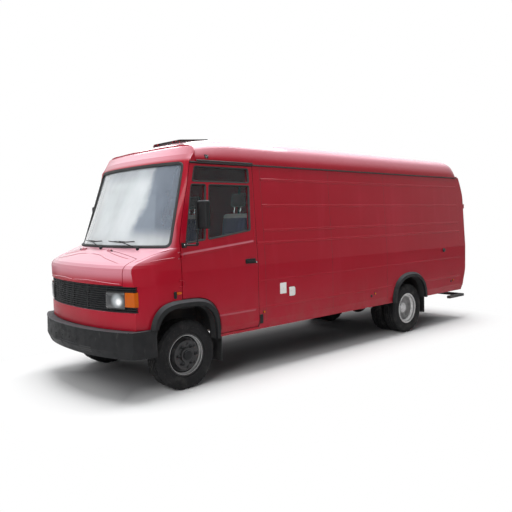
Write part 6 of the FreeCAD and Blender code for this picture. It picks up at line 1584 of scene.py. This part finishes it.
def add_door_inners():
    """Inner trim, armrest, crank, pocket and pull of each cab door."""
    for side, sign in LEFT_RIGHT:
        body = f"cab_door_{side}"
        tree = skin_tree(body)
        hits = [tree.ray_cast(at(sign * 0.5, 0.5, z), LEFT * sign)[0] for z in (0.9, 1.2, 1.45)]
        panel_x = min(abs(hit.x) for hit in hits if hit is not None)

        def board(loop, outs):
            """Board on the door's inner panel between two distances inwards."""
            return loft([[at(sign * (panel_x - out), y, z) for y, z in loop] for out in outs])

        loop = flat_loop(DOOR_LINING, 0.05, 5)
        rings = [[at(sign * (panel_x + out), y, z) for y, z in loop] for out in (0.004, -0.004)]
        rings.append([at(sign * (panel_x - 0.007), 0.56 + (y - 0.56) * 0.985, 1.1 + (z - 1.1) * 0.985)
                      for y, z in loop])
        piece(f"door_lining_{side}", [loft(rings)], LINING, body)
        loop = flat_loop(POCKET, 0.03, 4)
        pocket = [[at(sign * (panel_x - out), 0.68 + (y - 0.68) * share, z) for y, z in loop]
                  for out, share in ((0.004, 1.0), (0.03, 0.97), (0.034, 0.95))]
        hub = at(sign * (panel_x - 0.006), 0.3, 1.33)
        inward = LEFT * -sign
        handle = Vector((0, -0.05, -0.05))
        parts = [board(box_loop(0.36, 1.235, 0.8, 1.285, 0.02), (0.004, 0.04)), loft(pocket),
                 button(hub, 0.022, 0.016, inward, 20),
                 tube([hub + inward * 0.014, hub + inward * 0.024 + handle], 0.006, 8),
                 button(hub + inward * 0.022 + handle, 0.011, 0.022, inward, 14),
                 board(box_loop(0.74, 1.36, 0.86, 1.4, 0.012), (0.004, 0.016))]
        piece(f"door_inner_parts_{side}", parts, CABIN, body, 0.003)


LOAD_RIBS_Y = [1.28 + 0.58 * number for number in range(8)]
LOAD_END_Y = 5.6
# How far ribs, boards and rails of the load space stand inside the body skin
RIB_INSET, BOARD_INSET, RAIL_INSET = 0.056, 0.0695, 0.074
# Sections (out, along) of the wall ribs, (along, up) of the roof bows and (out, z) of the lashing rails
RIB_SECTION = ((0.004, -0.03), (-0.012, -0.016), (-0.012, 0.016), (0.004, 0.03))
BOW_SECTION = ((-0.025, 0.003), (-0.014, -0.016), (0.014, -0.016), (0.025, 0.003))
RAIL_SECTION = ((0.004, 1.6), (-0.008, 1.605), (-0.008, 1.635), (0.004, 1.64))


def add_load_space():
    """Wall ribs, lower boards, lashing rails, floor strips and roof bows of the load space."""
    ribs, boards, rails = [], [], []
    for sign, start in ((1, 1.1), (-1, 2.45)):
        for y in LOAD_RIBS_Y:
            if sign < 0 and y < RIGHT_WALL_Y:
                continue
            rows = []
            for z in (0.98, 1.3, 1.8, 2.44):
                wall = side_x(z) - RIB_INSET
                rows.append([at(sign * (wall + out), y + along, z) for out, along in RIB_SECTION])
            ribs.append(loft(rows))
        for low, high in ((0.98, 1.25), (1.26, 1.53)):
            outline = rectangle(start, low, LOAD_END_Y, high)
            loop = [at(sign * (side_x(z) - BOARD_INSET), y, z) for y, z in outline]
            boards.append(loft([loop, [point + LEFT * (-sign * 0.006) for point in loop]]))
        rail_x = side_x(1.62) - RAIL_INSET
        rails.append(loft([[at(sign * (rail_x + out), y, z) for out, z in RAIL_SECTION]
                           for y in (start, LOAD_END_Y)]))
    piece("load_ribs", ribs, UNDER, "root", 0.002)
    piece("load_boards", boards, LINING, "root", 0.001)
    piece("lashing_rails", rails, FLOOR, "root", 0.001)
    floor_z = skin_tree("floor").ray_cast(at(0.0, 3.0, 1.5), -UP)[0].z
    strips = [block(at(x - 0.012, 1.2, floor_z - 0.001), at(x + 0.012, 5.7, floor_z + 0.003))
              for x in (-0.8 + 0.2 * number for number in range(9))]
    piece("floor_strips", strips, FLOOR, "root", 0.001)
    bows = []
    tree = skin_tree("roof")
    for y in LOAD_RIBS_Y:
        rows = []
        for step in range(17):
            x = -0.88 + 1.76 * step / 16
            hit = tree.ray_cast(at(x, y, 2.0), UP)[0]
            top = hit.z if hit is not None else 2.6
            rows.append([at(x, y + along, top + up) for along, up in BOW_SECTION])
        bows.append(loft(rows))
    piece("roof_bows", bows, UNDER, "root", 0.001)


# Heights of the two lining boards, and where lines to the rear doors start
LINING_SPANS = ((0.92, 1.52), (2.22, 2.38))
BEHIND_LOAD_Y = 5.2


def add_rear_linings():
    """Lining boards, clips and latch boxes inside the rear doors."""
    for side, sign in LEFT_RIGHT:
        body = f"rear_door_{side}"
        tree = skin_tree(body)

        def inside(x, z):
            """Point on the door's inner skin."""
            return tree.ray_cast(at(sign * x, BEHIND_LOAD_Y, z), REAR)[0]

        boards, fixings = [], []
        for low, high in LINING_SPANS:
            rings = []
            for step in range(9):
                hits = [inside(0.14 + 0.145 * number, low + (high - low) * step / 8) for number in range(5)]
                rings.append([hit - REAR * 0.005 for hit in hits]
                             + [hit + REAR * 0.002 for hit in reversed(hits)])
            boards.append(loft(rings))
            for x in (0.18, 0.44, 0.7):
                for z in (low + 0.03, high - 0.03):
                    spot = inside(x, z) - REAR * 0.004
                    fixings.append(button(spot, 0.009, 0.004, -REAR, 12))
        latch = inside(0.1, 1.25)
        if latch is not None:
            fixings.append(block(latch + Vector((-0.025, -0.022, -0.06)),
                                 latch + Vector((0.025, 0.002, 0.06))))
        piece(f"rear_lining_{side}", boards, LINING, body, 0.0015)
        piece(f"rear_lining_clips_{side}", fixings, CABIN, body, 0.001)


# X spans of the driver's seat and the double seat, and the X of each headrest
SEAT_SPANS = ((0.375, 0.865), (-0.95, -0.13))
HEAD_X = (0.62, -0.335, -0.745)
CUSHION = {"front": 0.448, "rear": 0.93, "low": 1.18, "high": 1.298}
BACK = {"foot": 1.298, "top": 1.95, "thick": 0.112, "lean": 0.13}
HEAD = {"half": 0.14, "thick": 0.092, "low": 1.99, "high": 2.18}
VOXEL = 0.009
# How far the pads start inside their places before the cloth swells
SHRINK, HEAD_SHRINK = 0.012, 0.01
# The backrest's cross seam, with the pale band above it
SEAM_Z, BAND_Z = 1.86, 1.865
CLOTH_FRAMES = 20


def back_y(z, thick):
    """Front face of a backrest or headrest of a thickness at a height."""
    lean = BACK["lean"] * (z - BACK["foot"]) / (BACK["top"] - BACK["foot"])
    return CUSHION["rear"] - thick / 2 + lean


def pad_block(x0, x1, low, high, inset, thick, bevel):
    """Rounded block between two heights, as deep as the cushion or, leaning, of a thickness."""
    points = []
    for z in (low, high):
        front, rear = CUSHION["front"], CUSHION["rear"]
        if thick:
            front, rear = back_y(z, thick), back_y(z, thick) + thick
        points += [at(x, y, z) for x, y in rectangle(x0 + inset, front + inset, x1 - inset, rear - inset)]
    work = bmesh.new()
    points = [work.verts.new(point) for point in points]
    for face in ((3, 2, 1, 0), (4, 5, 6, 7), (0, 1, 5, 4), (1, 2, 6, 5), (2, 3, 7, 6), (3, 0, 4, 7)):
        work.faces.new([points[number] for number in face])
    bmesh.ops.recalc_face_normals(work, faces=work.faces)
    bmesh.ops.bevel(work, geom=list(work.edges), offset=bevel, segments=4, profile=0.5, affect="EDGES")
    return work


def inflate(made, cap, rest_z):
    """Swell a pad with cloth under pressure, its underside held, no point further than a distance."""
    mesh = made.data
    before = [vertex.co.copy() for vertex in mesh.vertices]
    held = made.vertex_groups.new(name="held")
    held.add([vertex.index for vertex in mesh.vertices if vertex.co.z < rest_z], 1.0, "REPLACE")
    cloth = made.modifiers.new("cloth", "CLOTH")
    cloth.settings.quality = 4
    cloth.settings.use_pressure = True
    cloth.settings.uniform_pressure_force = 4.0
    cloth.settings.tension_stiffness = 25
    cloth.settings.compression_stiffness = 25
    cloth.settings.vertex_group_mass = "held"
    cloth.settings.effector_weights.gravity = 0.0
    cloth.collision_settings.use_collision = False
    cloth.collision_settings.use_self_collision = False
    cloth.point_cache.frame_start = 1
    cloth.point_cache.frame_end = CLOTH_FRAMES
    for number in range(1, CLOTH_FRAMES + 1):
        bpy.context.scene.frame_set(number)
    depsgraph = bpy.context.evaluated_depsgraph_get()
    swollen = [vertex.co.copy() for vertex in made.evaluated_get(depsgraph).data.vertices]
    made.modifiers.remove(cloth)
    bpy.context.scene.frame_set(1)
    for vertex, start, end in zip(mesh.vertices, before, swollen):
        move = end - start
        vertex.co = start + move * min(1.0, cap / max(move.length, 1e-9))


def apply_modifiers(made):
    """Bake an object's modifiers into its mesh."""
    depsgraph = bpy.context.evaluated_depsgraph_get()
    mesh = bpy.data.meshes.new_from_object(made.evaluated_get(depsgraph))
    made.modifiers.clear()
    made.data = mesh


def soft(name, work, cap, rest_z, groove, material, band_z=None):
    """Sewn pad: evened out, swollen, subdivided, its channels pressed in, paler above a height."""
    mesh = bpy.data.meshes.new(name)
    work.to_mesh(mesh)
    work.free()
    made = bpy.data.objects.new(name, mesh)
    bpy.context.scene.collection.objects.link(made)
    remesh = made.modifiers.new("remesh", "REMESH")
    remesh.mode = "VOXEL"
    remesh.voxel_size = VOXEL
    apply_modifiers(made)
    inflate(made, cap, rest_z)
    made.modifiers.new("smooth", "SUBSURF").levels = 1
    apply_modifiers(made)
    mesh = made.data
    normals = [vertex.normal.copy() for vertex in mesh.vertices]
    for vertex, normal in zip(mesh.vertices, normals):
        vertex.co -= normal * groove(vertex.co, normal)
    mesh.shade_smooth()
    mesh.materials.clear()
    mesh.materials.append(material)
    if band_z:
        mesh.materials.append(BAND_CLOTH)
        for face in mesh.polygons:
            if face.center.z > band_z:
                face.material_index = 1
    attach(made, "root")
    return made


def channel(distance, width, depth):
    """Depth of a sewn channel at a distance from its line."""
    return depth * math.exp(-(distance / width) ** 2)


def add_seat(number, x0, x1, places):
    """Cushion and backrest of a seat for one or two, with sewn channels."""
    width = (x1 - x0) / places
    middles = [x0 + width * (place + 0.5) for place in range(places)]

    def side_channels(x, reach, channel_depth, split_depth):
        """Lengthwise channels of each place, and the split between two places."""
        depth = sum(channel(abs(x - place) - width * reach, 0.008, channel_depth) for place in middles)
        return depth + (channel(x - (x0 + x1) / 2, 0.006, split_depth) if places == 2 else 0.0)

    def cushion_groove(point, normal):
        """Depth pressed into the cushion's top."""
        if normal.z < 0.3:
            return 0.0
        across = sum(channel(point.y - AXLE_Y - y, 0.007, 0.006) for y in (0.62, 0.78))
        return across + side_channels(point.x, 0.33, 0.009, 0.016)

    def back_groove(point, normal):
        """Depth pressed into the backrest's front, whose lengthwise channels end at the seam."""
        if normal.y > 0.3:
            return 0.0
        depth = channel(point.z - SEAM_Z, 0.006, 0.009)
        if point.z < SEAM_Z:
            depth += sum(channel(point.z - z, 0.007, 0.005) for z in (1.5, 1.68))
        return depth + side_channels(point.x, 0.3, 0.008 if point.z < SEAM_Z else 0.0, 0.014)

    work = pad_block(x0, x1, CUSHION["low"] + 0.001, CUSHION["high"] - SHRINK * 1.2, SHRINK, 0, 0.03)
    cushion = soft(f"seat_cushion_{number}", work, 0.024, CUSHION["low"] + 0.012, cushion_groove,
                   SEAT_CLOTH)
    work = pad_block(x0, x1, BACK["foot"] + 0.012, BACK["top"] - SHRINK, SHRINK, BACK["thick"], 0.034)
    back = soft(f"seat_back_{number}", work, 0.022, BACK["foot"] + 0.02, back_groove,
                SEAT_CLOTH, BAND_Z)
    return [cushion, back]


def add_headrests():
    """Padded headrests on their posts."""
    def groove(point, normal):
        """Depth pressed in along the headrest's middle."""
        return channel(point.z - (HEAD["low"] + HEAD["high"]) / 2, 0.005, 0.003) if normal.y < 0 else 0.0

    heads, posts = [], []
    for number, x in enumerate(HEAD_X):
        work = pad_block(x - HEAD["half"], x + HEAD["half"], HEAD["low"] + HEAD_SHRINK,
                         HEAD["high"] - HEAD_SHRINK, HEAD_SHRINK, HEAD["thick"], 0.036)
        made = soft(f"headrest_{number + 1}", work, 0.016, HEAD["low"], groove, HEAD_CLOTH)
        heads.append(made)
        for side in (-0.06, 0.06):
            low, high = (at(x + side, back_y(z, HEAD["thick"]) + HEAD["thick"] / 2, z)
                         for z in (1.93, 2.02))
            posts.append(tube([low, high], 0.007, 12))
            posts.append(tube([low + UP * 0.012, low + UP * 0.03], 0.013, 12))
    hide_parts("headrests")
    piece("headrest_posts", posts, BRIGHT, "root")


def add_seats():
    """Cushions, backrests and headrests, with piping round the cushions."""
    pads = []
    for number, (x0, x1) in enumerate(SEAT_SPANS):
        pads += add_seat(number + 1, x0, x1, number + 1)
    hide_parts("seats")
    add_headrests()
    for number, (x0, x1) in enumerate(SEAT_SPANS):
        edge = rectangle(x0 + 0.012, CUSHION["front"] + 0.012, x1 - 0.012, CUSHION["rear"] - 0.012)
        loop = corner_loop([at(x, y, CUSHION["high"] - 0.026) for x, y in edge], 0.03, 5)
        piece(f"cushion_piping_{number + 1}", [tube(loop + [loop[0]], 0.0035, 6)], HEAD_CLOTH, "root")


add_camera()
add_floor()
add_light()
dress_nodes()
add_tyres()
add_wheel_detail()
add_windscreen_trim()
add_door_trim()
add_roof_trim()
add_hatch_trim()
add_plates()
add_wall_trim()
add_headlamps()
add_bumper_trim()
add_mirrors()
add_rear_doors()
add_tail_lamps()
add_side_runner()
add_creases()
add_arch_liners()
add_mudflap_detail()
add_tank_straps()
add_underbody()
add_dashboard()
add_gear_lever()
add_pedals()
add_cab_fittings()
add_door_inners()
add_load_space()
add_rear_linings()
add_seats()
